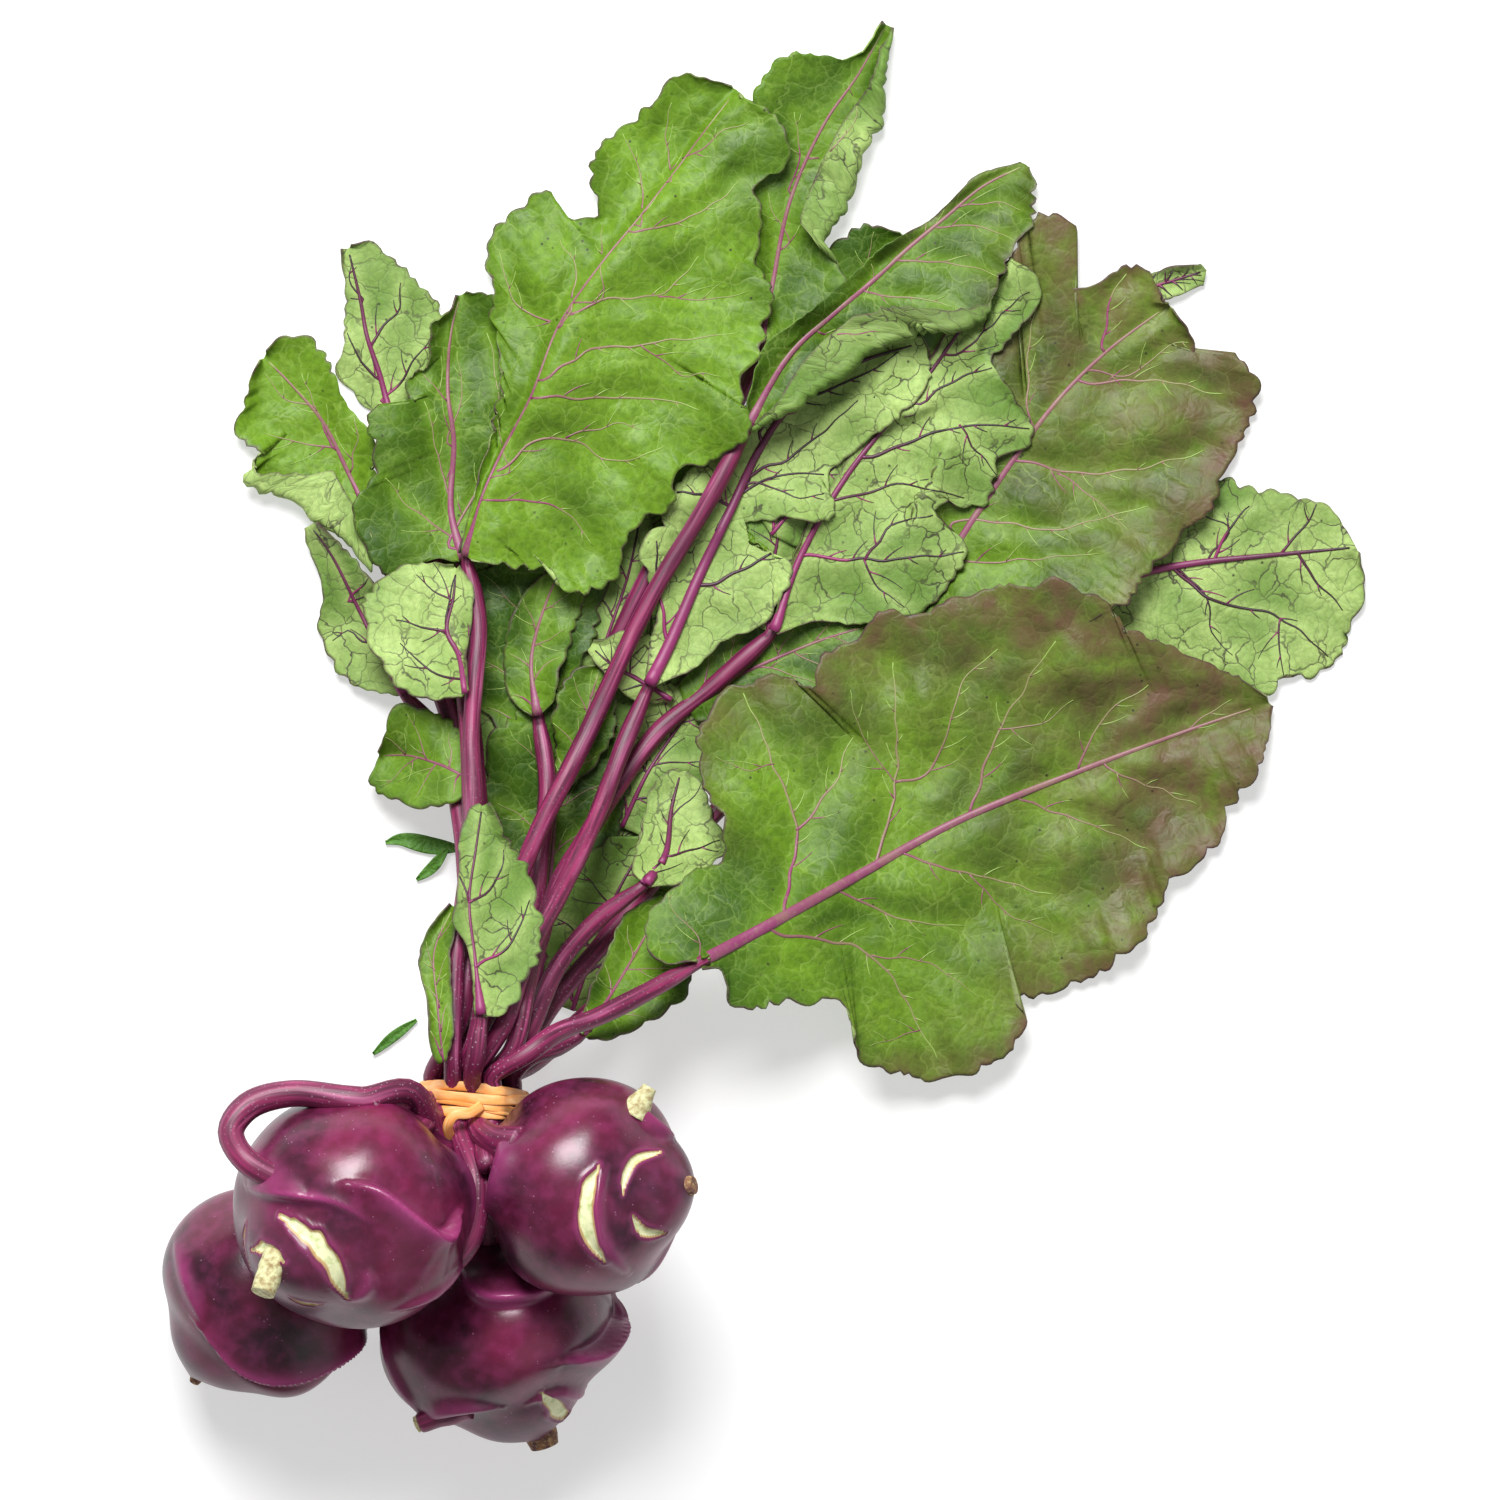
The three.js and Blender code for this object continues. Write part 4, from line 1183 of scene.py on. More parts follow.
BULBS = (
    BulbSpec(
        "bulb_front_left", (-160, -177, 30.9), (0.66, 0.74, 0.12), 34, 33, 0.92,
        marks=(
            Mark(MarkKind.FLAP, 8.0, 6.6, (
                (-181, -187), (-167, -200), (-153, -201), (-134, -193), (-119, -184),
            )),
            Mark(MarkKind.CREASE, 5.0, 1.5, (
                (-178, -192), (-165, -205), (-149, -206), (-133, -199),
            )),
            Mark(MarkKind.RIDGE, 6.0, 1.4, ((-188, -160), (-184, -174), (-179, -186))),
        ),
        stubs=(Stub((-177, -194, 24), (-183, -206, 20), (5.6, 1.6), Finish.BARK),),
    ),
    BulbSpec(
        "bulb_front_middle", (-86, -189, 34.4), (-0.37, 0.93, 0.05), 38, 33, 0.92,
        marks=(
            Mark(MarkKind.RIDGE, 7.0, 3.4, ((-113, -219), (-104, -215), (-94, -214), (-83, -215))),
            Mark(MarkKind.FLAP, 6.0, 4.0, (
                (-97, -167), (-94, -174), (-89, -178), (-76, -178), (-66, -174),
            )),
            Mark(MarkKind.FLAP, 9.0, 6.4, ((-49, -177), (-49, -187), (-54, -194), (-66, -198))),
            Mark(MarkKind.SCAR, 5.4, 1.0, ((-70, -210), (-65, -215), (-59, -220))),
            Mark(MarkKind.RIDGE, 6.0, 2.0, ((-122, -186), (-118, -202), (-110, -216))),
            Mark(MarkKind.RIDGE, 5.0, 1.6, ((-53, -209), (-66, -210), (-75, -214))),
        ),
        stubs=(
            Stub((-75, -212, 30), (-70.5, -226, 27), (8.0, 4.6), Finish.BARK),
            Stub((-95, -212, 50), (-110, -218, 46), (5.0, 3.2), Finish.STALK),
            Stub((-109.6, -217.8, 46.1), (-111.2, -218.5, 45.7), (2.9, 2.7), Finish.FLESH),
        ),
    ),
    BulbSpec(
        "bulb_top_left", (-132, -150, 89), (0.62, 0.48, -0.62), 38.5, 37, 0.92,
        marks=(
            Mark(MarkKind.SCAR, 6.2, 1.0, ((-154, -150), (-145, -156), (-138, -163), (-132, -177))),
            Mark(MarkKind.SCAR, 3.4, 0.8, ((-166, -153), (-166, -160), (-163, -167))),
            Mark(MarkKind.SCAR, 3.4, 0.8, ((-162, -161), (-156, -160), (-150, -164))),
            Mark(MarkKind.SCAR, 3.6, 0.8, ((-149, -176), (-144, -179), (-140, -179))),
            Mark(MarkKind.FLAP, 8.0, 6.6, (
                (-97, -149), (-102, -157), (-110, -152), (-123, -142), (-132, -140),
            )),
            Mark(MarkKind.FLAP, 6.0, 2.6, (
                (-166, -141), (-158, -143), (-149, -144), (-136, -146), (-124, -152),
            )),
            Mark(MarkKind.RIDGE, 7.0, 2.6, ((-99, -124), (-94, -134), (-92, -147), (-93, -160))),
            Mark(MarkKind.RIDGE, 5.0, 1.8, ((-94, -162), (-104, -173), (-118, -180))),
            Mark(MarkKind.RIDGE, 5.0, 1.8, ((-132, -179), (-126, -174), (-125, -167))),
            Mark(MarkKind.RIDGE, 13.0, 2.6, ((-144, -145), (-152, -142), (-160, -138), (-166, -131))),
        ),
        stubs=(Stub((-154, -162, 112), (-158.5, -174.5, 117), (4.4, 3.9), Finish.FLESH),),
    ),
    BulbSpec(
        "bulb_top_right", (-56, -142, 77), (-0.93, 0, -0.37), 35, 32, 0.94,
        marks=(
            Mark(MarkKind.SCAR, 3.6, 0.8, ((-44, -144), (-43, -138), (-39, -132), (-32, -130))),
            Mark(MarkKind.SCAR, 5.4, 1.0, (
                (-52, -134), (-56, -142), (-57, -152), (-54, -159), (-51, -164),
            )),
            Mark(MarkKind.SCAR, 3.4, 0.8, ((-41, -151), (-38, -156), (-32, -156))),
            Mark(MarkKind.RIDGE, 11.0, 4.4, ((-85, -122), (-82, -130), (-83, -139), (-86, -149))),
            Mark(MarkKind.RIDGE, 6.0, 3.4, ((-42, -113), (-37, -118), (-28, -126))),
            Mark(MarkKind.RIDGE, 6.0, 2.0, ((-49, -134), (-53, -146), (-52, -158), (-43, -169))),
            Mark(MarkKind.RIDGE, 5.0, 1.5, ((-40, -173), (-30, -165), (-25, -155))),
        ),
        stubs=(
            Stub((-28, -142, 88), (-22.5, -141, 90.5), (4.6, 2.8), Finish.BARK),
            Stub((-42, -119, 88), (-36.5, -110, 88), (5.2, 2.2), Finish.FLESH),
        ),
    ),
)

LEAVES = (
    LeafSpec(
        # This leaf lies behind the others and is darkened as painted shade.
        "behind_top", tone=-0.5,
        midrib=((11, 131), (26, 144), (37, 155), (45, 162)),
        left=((10, 132), (15, 146), (23, 162), (31, 166), (43, 163)),
        right=((12, 130), (27, 137), (37, 150), (46, 160)),
    ),
    LeafSpec(
        "far_right", up=Side.UNDER, rib=3, tone=0.1,
        midrib=((107, 48), (123, 54), (139, 57), (158, 59), (190, 62)),
        left=((107, 49), (110, 58), (128, 67), (146, 84), (158, 81), (174, 78), (182, 74), (189, 64)),
        right=((108, 47), (117, 32), (139, 19), (162, 14), (168, 20), (174, 19), (186, 29), (188, 38),
               (192, 45), (191, 60)),
        route=Route((4, 0), ((-74, -103), (-46, -78), (-2, -42), (53, 2))),
        veins=(
            Vein(1.5, ((144, 57), (149, 68), (156, 75))),
            Vein(1.5, ((133, 54), (142, 46), (166, 39), (181, 27))),
            Vein(1.3, ((171, 61), (178, 50), (186, 42))),
            Vein(1.2, ((166, 60), (174, 70), (179, 77))),
            Vein(1, ((142, 46), (144, 35), (150, 27))),
            Vein(0.9, ((149, 68), (141, 72), (136, 77))),
            Vein(0.9, ((166, 39), (165, 29), (168, 19))),
        ),
    ),
    LeafSpec(
        "mid_right", rib=3, rim_blush=0.6,
        blush=((0.3, 0.05), (0.5, 0.4), (0.75, 0.7), (1.0, 0.4)),
        midrib=((45, 32), (59, 58), (75, 83), (94, 109), (110, 125), (130, 140)),
        left=((43, 32), (43, 58), (56, 90), (70, 122), (78, 144), (84, 166), (94, 169), (100, 165),
              (95, 157), (98, 144), (106, 148), (113, 151), (123, 150), (128, 141)),
        right=((46, 31), (62, 32), (91, 35), (115, 44), (128, 59), (144, 77), (150, 89), (155, 101),
               (158, 114), (151, 124), (141, 123), (138, 128), (131, 138)),
        route=Route((3, 0), ((-80, -102), (-67, -83), (-51, -64), (-27, -35), (8, 0))),
        veins=(
            Vein(1.6, ((109, 125), (111, 141), (116, 150))),
            Vein(1.5, ((106, 115), (123, 116), (147, 111))),
            Vein(1.4, ((85, 104), (85, 125), (88, 144))),
            Vein(1.5, ((80, 90), (101, 86), (123, 88), (141, 93))),
            Vein(1.5, ((59, 70), (94, 68), (123, 75))),
            Vein(1.2, ((64, 57), (85, 58), (107, 60))),
            Vein(1, ((94, 86), (107, 77), (117, 67))),
            Vein(1, ((117, 117), (133, 128), (142, 126))),
        ),
    ),
    LeafSpec(
        "top_tip", tone=-0.05,
        curl=Curl(Margin.RIGHT, 2.5, ((0.35, 0), (0.5, 20), (0.72, 16), (0.85, 6), (1, 0))),
        midrib=((-2, 124), (2, 144), (8, 173), (19, 198), (30, 214), (39, 230)),
        left=((-3, 124), (-2, 141), (-3, 157), (-4, 173), (-4, 189), (-4, 205), (3, 218), (8, 220),
              (26, 219), (31, 221), (38, 231)),
        right=((0, 123), (8, 128), (22, 141), (25, 146), (21, 161), (27, 176), (35, 194), (38, 211),
               (41, 229)),
        route=Route((2, 0), ((-85, -86), (-78, -51), (-64, -6), (-43, 42), (-18, 90))),
        veins=(
            Vein(1.1, ((8, 176), (11, 189), (10, 202))),
            Vein(1.1, ((21, 189), (30, 202), (27, 211))),
            Vein(1, ((8, 160), (2, 170), (1, 176))),
        ),
    ),
    LeafSpec(
        "top_left", up=Side.UNDER, rib=2.2, tone=0.05,
        midrib=((-118, 99), (-121, 107), (-124, 118), (-128, 130), (-130, 141), (-134, 158)),
        left=((-120, 99), (-127, 106), (-133, 111), (-138, 120), (-136, 125), (-135, 141), (-136, 153),
              (-136, 158)),
        right=((-116, 99), (-110, 107), (-104, 125), (-104, 139), (-112, 147), (-116, 151), (-126, 160),
               (-133, 159)),
        route=Route((1, 0), ((-94, -90), (-92, -51), (-92, -19), (-96, 16), (-107, 58))),
        veins=(
            Vein(1.2, ((-123, 109), (-115, 118), (-107, 131))),
            Vein(1.2, ((-126, 128), (-118, 138), (-117, 147))),
            Vein(1.2, ((-125, 117), (-132, 125), (-134, 131))),
            Vein(1, ((-129, 141), (-133, 147), (-133, 152))),
        ),
    ),
    LeafSpec(
        "far_left", tone=0.7,
        curl=Curl(Margin.LEFT, 2, ((0, 22), (0.25, 18), (0.5, 5), (0.6, 0))),
        midrib=((-126, 70), (-134, 86), (-142, 102), (-152, 114), (-161, 123)),
        left=((-126, 54), (-136, 65), (-149, 75), (-161, 80), (-167, 85), (-162, 93), (-169, 99),
              (-167, 112), (-162, 122)),
        right=((-124, 75), (-126, 93), (-128, 101), (-135, 110), (-141, 120), (-146, 130), (-156, 129),
               (-160, 125)),
        route=Route((0, 0), ((-101, -99), (-98, -83), (-95, -51), (-95, -19), (-101, 6), (-112, 35))),
        veins=(
            Vein(1.3, ((-139, 94), (-144, 106), (-149, 118))),
            Vein(1.2, ((-139, 94), (-152, 96), (-161, 99))),
            Vein(1, ((-144, 106), (-154, 110), (-161, 118))),
            Vein(1, ((-133, 88), (-131, 99), (-133, 110))),
        ),
    ),
    LeafSpec(
        "low_left", up=Side.UNDER,
        midrib=((-116, 15), (-124, 29), (-132, 45), (-139, 59), (-146, 69)),
        left=((-118, 14), (-125, 15), (-136, 21), (-143, 32), (-142, 45), (-144, 54), (-147, 62),
              (-148, 68)),
        right=((-114, 16), (-116, 32), (-121, 45), (-132, 58), (-144, 70)),
        route=Route((1, 1), ((-96, -93), (-95, -61), (-97, -29), (-104, 0))),
        veins=(
            Vein(1, ((-134, 45), (-128, 51), (-126, 58))),
            Vein(1, ((-130, 32), (-134, 35), (-139, 32))),
        ),
    ),
    LeafSpec(
        "small_left", rib=1.2, tone=0.1,
        midrib=((-96, -12), (-104, -8), (-114, -5), (-124, -5)),
        left=((-96, -13), (-97, -19), (-107, -21), (-122, -20), (-127, -14), (-125, -7)),
        right=((-96, -10), (-97, 2), (-107, 9), (-118, 11), (-122, 2), (-124, -4)),
    ),
    LeafSpec(
        "mid_left", rib=2.6, tone=-0.12,
        midrib=((-97, 58), (-101, 74), (-100, 96), (-102, 112), (-101, 131), (-98, 143)),
        left=((-99, 57), (-107, 58), (-118, 52), (-124, 53), (-132, 75), (-126, 83), (-125, 90),
              (-128, 102), (-126, 106), (-115, 107), (-115, 116), (-108, 120), (-107, 134), (-101, 138),
              (-99, 143)),
        right=((-95, 58), (-90, 70), (-85, 90), (-83, 109), (-84, 128), (-86, 142), (-96, 144)),
        route=Route(
            (0, 1), ((-96, -86), (-94, -51), (-94, -19), (-96, 13), (-98, 35)),
            start=((-118, -110, 82), (-112, -119, 70), (-108, -124, 63)),
        ),
        veins=(
            Vein(1.6, ((-102, 62), (-94, 77), (-85, 93), (-87, 118), (-89, 131))),
            Vein(1.3, ((-102, 66), (-113, 74), (-122, 84))),
            Vein(1.2, ((-101, 77), (-106, 96), (-109, 109))),
            Vein(1, ((-102, 96), (-98, 109), (-99, 125))),
            Vein(0.9, ((-102, 109), (-110, 118), (-112, 126))),
        ),
    ),
    LeafSpec(
        "under_right", rib=1.4, tone=-0.1,
        midrib=((-58, -94), (-49, -81), (-39, -64), (-32, -51)),
        left=((-59, -93), (-57, -83), (-52, -72), (-45, -56), (-34, -49)),
        right=((-56, -95), (-49, -95), (-37, -90), (-27, -83), (-23, -72), (-26, -59), (-30, -52)),
        route=Route((4, 1), ((-75, -101), (-66, -98)), start=((-81, -125, 59),)),
    ),
    LeafSpec(
        "small_right", up=Side.UNDER, rib=2.6, tone=0.3,
        midrib=((-38, -46), (-32, -37), (-30, -22), (-27, -10)),
        left=((-40, -45), (-43, -42), (-40, -29), (-36, -16), (-31, -10), (-28, -9)),
        right=((-37, -47), (-24, -45), (-12, -35), (-17, -23), (-21, -13), (-25, -10)),
        route=Route((3, 1), ((-77, -96), (-66, -72), (-53, -57))),
        veins=(
            Vein(1.4, ((-40, -45), (-32, -37), (-30, -19))),
            Vein(1.2, ((-32, -37), (-21, -35), (-13, -31))),
            Vein(0.9, ((-31, -26), (-24, -19), (-21, -14))),
        ),
    ),
    LeafSpec(
        "inner_mid", rib=1.2, tone=-0.4,
        midrib=((-66, -16), (-59, 0), (-56, 13), (-53, 23)),
        left=((-67, -16), (-68, 0), (-66, 16), (-61, 23), (-54, 24)),
        right=((-64, -16), (-56, -10), (-50, 0), (-48, 11), (-51, 23)),
    ),
    LeafSpec(
        "small_mid",
        midrib=((-73, 8), (-75, 26), (-70, 45), (-66, 54)),
        left=((-75, 8), (-82, 14), (-84, 27), (-79, 45), (-72, 53), (-67, 55)),
        right=((-72, 8), (-68, 13), (-65, 24), (-59, 42), (-58, 48), (-64, 54)),
        route=Route((2, 1), ((-81, -86), (-75, -61), (-72, -38), (-70, -13))),
    ),
    LeafSpec(
        "fold_right", up=Side.UNDER, rib=2.4, tone=-0.05,
        midrib=((3, 35), (11, 58), (27, 86), (53, 118), (70, 142), (80, 154)),
        left=((2, 35), (9, 59), (25, 88), (51, 120), (68, 144), (79, 155)),
        right=((4, 34), (16, 38), (37, 38), (53, 43), (65, 58), (56, 74), (70, 77), (78, 89), (85, 99),
               (80, 114), (72, 121), (78, 128), (89, 144), (86, 151), (82, 153)),
        route=Route(
            (3, 2), ((-80, -98), (-75, -75), (-67, -48), (-58, -32), (-46, -13), (-34, 3), (-17, 17)),
        ),
        veins=(
            Vein(1.5, ((10, 59), (32, 58), (64, 60))),
            Vein(1.3, ((32, 58), (43, 70), (54, 72))),
            Vein(1.5, ((34, 91), (62, 101), (85, 100))),
            Vein(1.2, ((22, 77), (43, 82), (64, 78))),
            Vein(1.2, ((50, 109), (66, 118), (77, 120))),
            Vein(1, ((64, 125), (75, 136), (85, 144))),
            Vein(0.9, ((32, 58), (37, 48), (45, 43))),
            Vein(0.9, ((62, 101), (70, 91), (75, 83))),
        ),
    ),
    LeafSpec(
        "pale_mid", up=Side.UNDER, tone=0.2,
        midrib=((-30, 13), (-40, 19), (-49, 24), (-56, 30)),
        left=((-30, 12), (-40, 12), (-46, 16), (-53, 23), (-57, 29)),
        right=((-29, 14), (-35, 26), (-37, 32), (-46, 35), (-55, 32)),
    ),
    LeafSpec(
        "pale_centre", up=Side.UNDER, rib=4.4, tone=0.25,
        midrib=((-37, 18), (-31, 30), (-21, 53), (-11, 74), (-2, 93), (8, 107), (27, 120), (51, 128)),
        left=((-38, 19), (-37, 32), (-35, 42), (-38, 62), (-35, 70), (-27, 83), (-14, 96), (-2, 112),
              (18, 124), (50, 130)),
        right=((-36, 17), (-24, 23), (-8, 34), (3, 42), (10, 53), (-6, 66), (-5, 71), (16, 69),
               (22, 72), (19, 86), (26, 91), (38, 98), (45, 107), (53, 117), (52, 126)),
        route=Route(
            (2, 2), ((-83, -90), (-76, -69), (-66, -50), (-55, -27), (-45, -1)),
            start=((-90, -135, 61),),
        ),
        veins=(
            Vein(1.7, ((-31, 32), (-34, 48), (-35, 64))),
            Vein(1.7, ((-24, 48), (-8, 54), (8, 64), (11, 70))),
            Vein(1.6, ((-16, 67), (-2, 83), (21, 86))),
            Vein(1.6, ((-12, 75), (-24, 80), (-34, 78))),
            Vein(1.5, ((-2, 99), (11, 109), (27, 115), (43, 125))),
            Vein(1.4, ((-8, 83), (11, 93), (30, 109))),
            Vein(1.2, ((8, 109), (5, 118), (8, 126))),
            Vein(1, ((-2, 83), (11, 78), (21, 80))),
        ),
    ),
    LeafSpec(
        "top_right", rib=2.6, tone=-0.35, rim_blush=0.35,
        curl=Curl(Margin.RIGHT, 2.5, ((0, 4), (0.2, 18), (0.45, 12), (0.55, 8), (0.66, 0))),
        midrib=((-6, 100), (8, 124), (22, 137), (34, 147), (46, 158), (58, 168), (70, 178), (84, 185)),
        left=((-7, 101), (-4, 114), (-1, 125), (8, 133), (22, 144), (34, 155), (43, 162), (53, 167),
              (62, 176), (67, 181), (82, 186)),
        right=((-4, 99), (8, 106), (21, 114), (30, 122), (43, 129), (62, 132), (70, 135), (75, 147),
               (83, 162), (87, 178), (85, 184)),
        route=Route((1, 2), ((-93, -99), (-87, -70), (-75, -35), (-58, 0), (-37, 45), (-18, 77))),
        veins=(
            Vein(1.3, ((16, 131), (27, 130), (37, 131))),
            Vein(1.2, ((33, 144), (53, 141), (62, 138))),
            Vein(1.2, ((45, 154), (62, 153), (75, 149))),
            Vein(1.1, ((54, 165), (70, 165), (80, 160))),
            Vein(1, ((62, 171), (75, 173), (82, 170))),
            Vein(0.9, ((35, 146), (34, 153))),
            Vein(0.9, ((51, 163), (53, 168))),
        ),
    ),
    LeafSpec(
        "bright_centre", rib=1.2, tone=0.42, fold=11.0,
        midrib=((-96, 59), (-91, 77), (-85, 91), (-75, 110), (-66, 133), (-53, 152), (-40, 168),
                (-30, 181), (-22, 192), (-9, 209)),
        left=((-98, 60), (-94, 77), (-89, 93), (-85, 109), (-86, 128), (-88, 143), (-89, 160),
              (-82, 169), (-70, 175), (-61, 168), (-54, 168), (-56, 186), (-53, 192), (-35, 205),
              (-34, 210), (-21, 213), (-11, 210)),
        right=((-94, 58), (-85, 56), (-70, 55), (-59, 47), (-48, 53), (-42, 67), (-30, 77), (-26, 86),
               (-6, 96), (-5, 102), (-8, 109), (-3, 122), (0, 131), (2, 147), (-2, 155), (-2, 168),
               (-2, 179), (6, 184), (8, 190), (3, 201), (-8, 207)),
        route=Route(
            (1, 3), ((-99, -86), (-98, -67), (-94, -38), (-93, -19), (-94, 0), (-93, 19), (-92, 38)),
            start=((-147, -143, 125.5), (-159, -138, 118), (-169, -131, 110), (-173, -122, 102),
                   (-167, -113, 98), (-152, -108, 98), (-133, -109, 100), (-122, -110, 99),
                   (-112, -112, 89), (-108, -118, 80), (-105, -125, 74), (-100, -128, 71)),
        ),
        veins=(
            Vein(1.4, ((-90, 77), (-74, 77), (-64, 73), (-56, 62))),
            Vein(1.5, ((-85, 86), (-75, 95), (-64, 97), (-46, 89), (-32, 95))),
            Vein(1.5, ((-75, 110), (-53, 110), (-33, 109), (-21, 106))),
            Vein(1.5, ((-72, 115), (-56, 125), (-40, 127), (-24, 129), (-8, 131))),
            Vein(1.4, ((-61, 137), (-53, 141), (-34, 143), (-21, 155))),
            Vein(1.3, ((-42, 163), (-24, 168), (-8, 179))),
            Vein(1.5, ((-65, 132), (-61, 150), (-66, 161))),
            Vein(1.3, ((-65, 132), (-81, 141), (-85, 157))),
            Vein(1.1, ((-53, 141), (-53, 153), (-52, 166))),
            Vein(1.2, ((-40, 165), (-40, 182), (-46, 195))),
            Vein(1.1, ((-30, 179), (-32, 195), (-30, 205))),
            Vein(1.1, ((-26, 186), (-14, 195), (-5, 199))),
            Vein(0.9, ((-64, 97), (-50, 101), (-37, 100))),
            Vein(0.9, ((-40, 127), (-27, 118), (-14, 117))),
            Vein(0.9, ((-34, 143), (-21, 141), (-6, 144))),
            Vein(0.8, ((-82, 86), (-85, 96), (-86, 109))),
        ),
    ),
    LeafSpec(
        "lobe_left", up=Side.UNDER, rib=2.2, tone=0.2,
        midrib=((-96, 15), (-98, 27), (-102, 35), (-100, 45), (-99, 55)),
        left=((-97, 14), (-109, 13), (-119, 19), (-126, 32), (-130, 45), (-123, 52), (-110, 57),
              (-100, 56)),
        right=((-95, 16), (-96, 27), (-94, 38), (-93, 48), (-98, 56)),
        veins=(
            Vein(1.5, ((-95, 22), (-102, 35), (-99, 53))),
            Vein(1.2, ((-102, 35), (-110, 36), (-118, 39))),
            Vein(1.2, ((-96, 19), (-107, 22), (-117, 31))),
            Vein(0.9, ((-101, 45), (-107, 48), (-112, 53))),
        ),
    ),
    LeafSpec(
        "low_right", rib=4.2, tone=0.1, rim_blush=0.95,
        blush=((0.3, 0.0), (0.6, 0.35), (0.8, 0.95), (1.0, 1.0)),
        midrib=((-21, -71), (-2, -61), (27, -45), (62, -26), (101, -10), (133, 2), (162, 12)),
        left=((-22, -70), (-35, -70), (-38, -59), (-32, -50), (-22, -42), (-12, -35), (-17, -19),
              (-22, -2), (-13, 16), (8, 20), (15, 15), (18, 26), (27, 30), (35, 40), (51, 42), (59, 46),
              (75, 49), (102, 48), (117, 36), (136, 29), (149, 22), (161, 14)),
        right=((-20, -73), (-14, -73), (-10, -85), (21, -83), (27, -85), (32, -102), (50, -109),
               (65, -109), (84, -92), (79, -83), (94, -80), (120, -66), (131, -46), (146, -33),
               (149, -22), (160, -6), (163, 11)),
        route=Route(
            (3, 3), ((-76, -100), (-66, -93), (-53, -88), (-37, -80)),
            start=((-88, -135, 97), (-89.5, -129, 77.5)),
        ),
        veins=(
            Vein(2, ((6, -54), (10, -29), (3, -8), (-7, 15))),
            Vein(1.6, ((10, -29), (21, -16), (28, 1))),
            Vein(1.8, ((36, -38), (42, -14), (41, 25))),
            Vein(1.5, ((42, -14), (53, -10), (64, 19), (75, 29))),
            Vein(1.7, ((66, -24), (75, 3), (93, 32))),
            Vein(1.4, ((101, -10), (107, 5), (123, 18))),
            Vein(1.8, ((2, -61), (34, -69), (50, -93), (56, -103))),
            Vein(1.4, ((26, -49), (46, -58), (64, -60))),
            Vein(1.5, ((48, -38), (66, -43), (93, -50))),
            Vein(1.3, ((82, -19), (107, -28), (123, -35))),
            Vein(1.2, ((109, -8), (139, -21))),
            Vein(1, ((133, 2), (150, 13))),
            Vein(0.9, ((75, 3), (88, 5), (99, 13))),
            Vein(0.9, ((66, -43), (78, -56), (94, -62))),
            Vein(0.9, ((34, -69), (53, -72), (70, -83))),
            Vein(0.8, ((3, -8), (-6, -10), (-16, -5))),
            Vein(0.8, ((42, -14), (32, 0), (27, 16))),
            Vein(0.7, ((50, -93), (40, -96), (34, -99))),
            Vein(0.7, ((-21, -64), (-30, -53), (-32, -45))),
        ),
    ),
    LeafSpec(
        "front_curl", rib=0.8, tone=0.05,
        midrib=((-102, -102), (-104, -83), (-105, -67), (-99, -53)),
        left=((-104, -103), (-106, -98), (-107, -83), (-110, -70), (-106, -59), (-100, -52)),
        right=((-101, -102), (-99, -93), (-99, -83), (-100, -67), (-97, -54), (-98, -52)),
    ),
    LeafSpec(
        "front_pale", up=Side.UNDER, rib=1.4, tone=-0.25,
        midrib=((-90, -87), (-92, -70), (-94, -51), (-92, -35), (-90, -21)),
        left=((-92, -87), (-94, -67), (-99, -58), (-97, -42), (-97, -29), (-94, -22), (-91, -20)),
        right=((-89, -88), (-85, -87), (-75, -78), (-72, -51), (-75, -42), (-83, -29), (-86, -22),
               (-88, -20)),
        route=Route((2, 3), ((-92, -102),)),
        veins=(
            Vein(1.3, ((-89, -70), (-80, -64), (-75, -51))),
            Vein(1.2, ((-92, -51), (-85, -45), (-83, -35))),
            Vein(1, ((-94, -51), (-97, -42), (-97, -35))),
            Vein(1, ((-90, -80), (-94, -74), (-97, -67))),
        ),
    ),
)

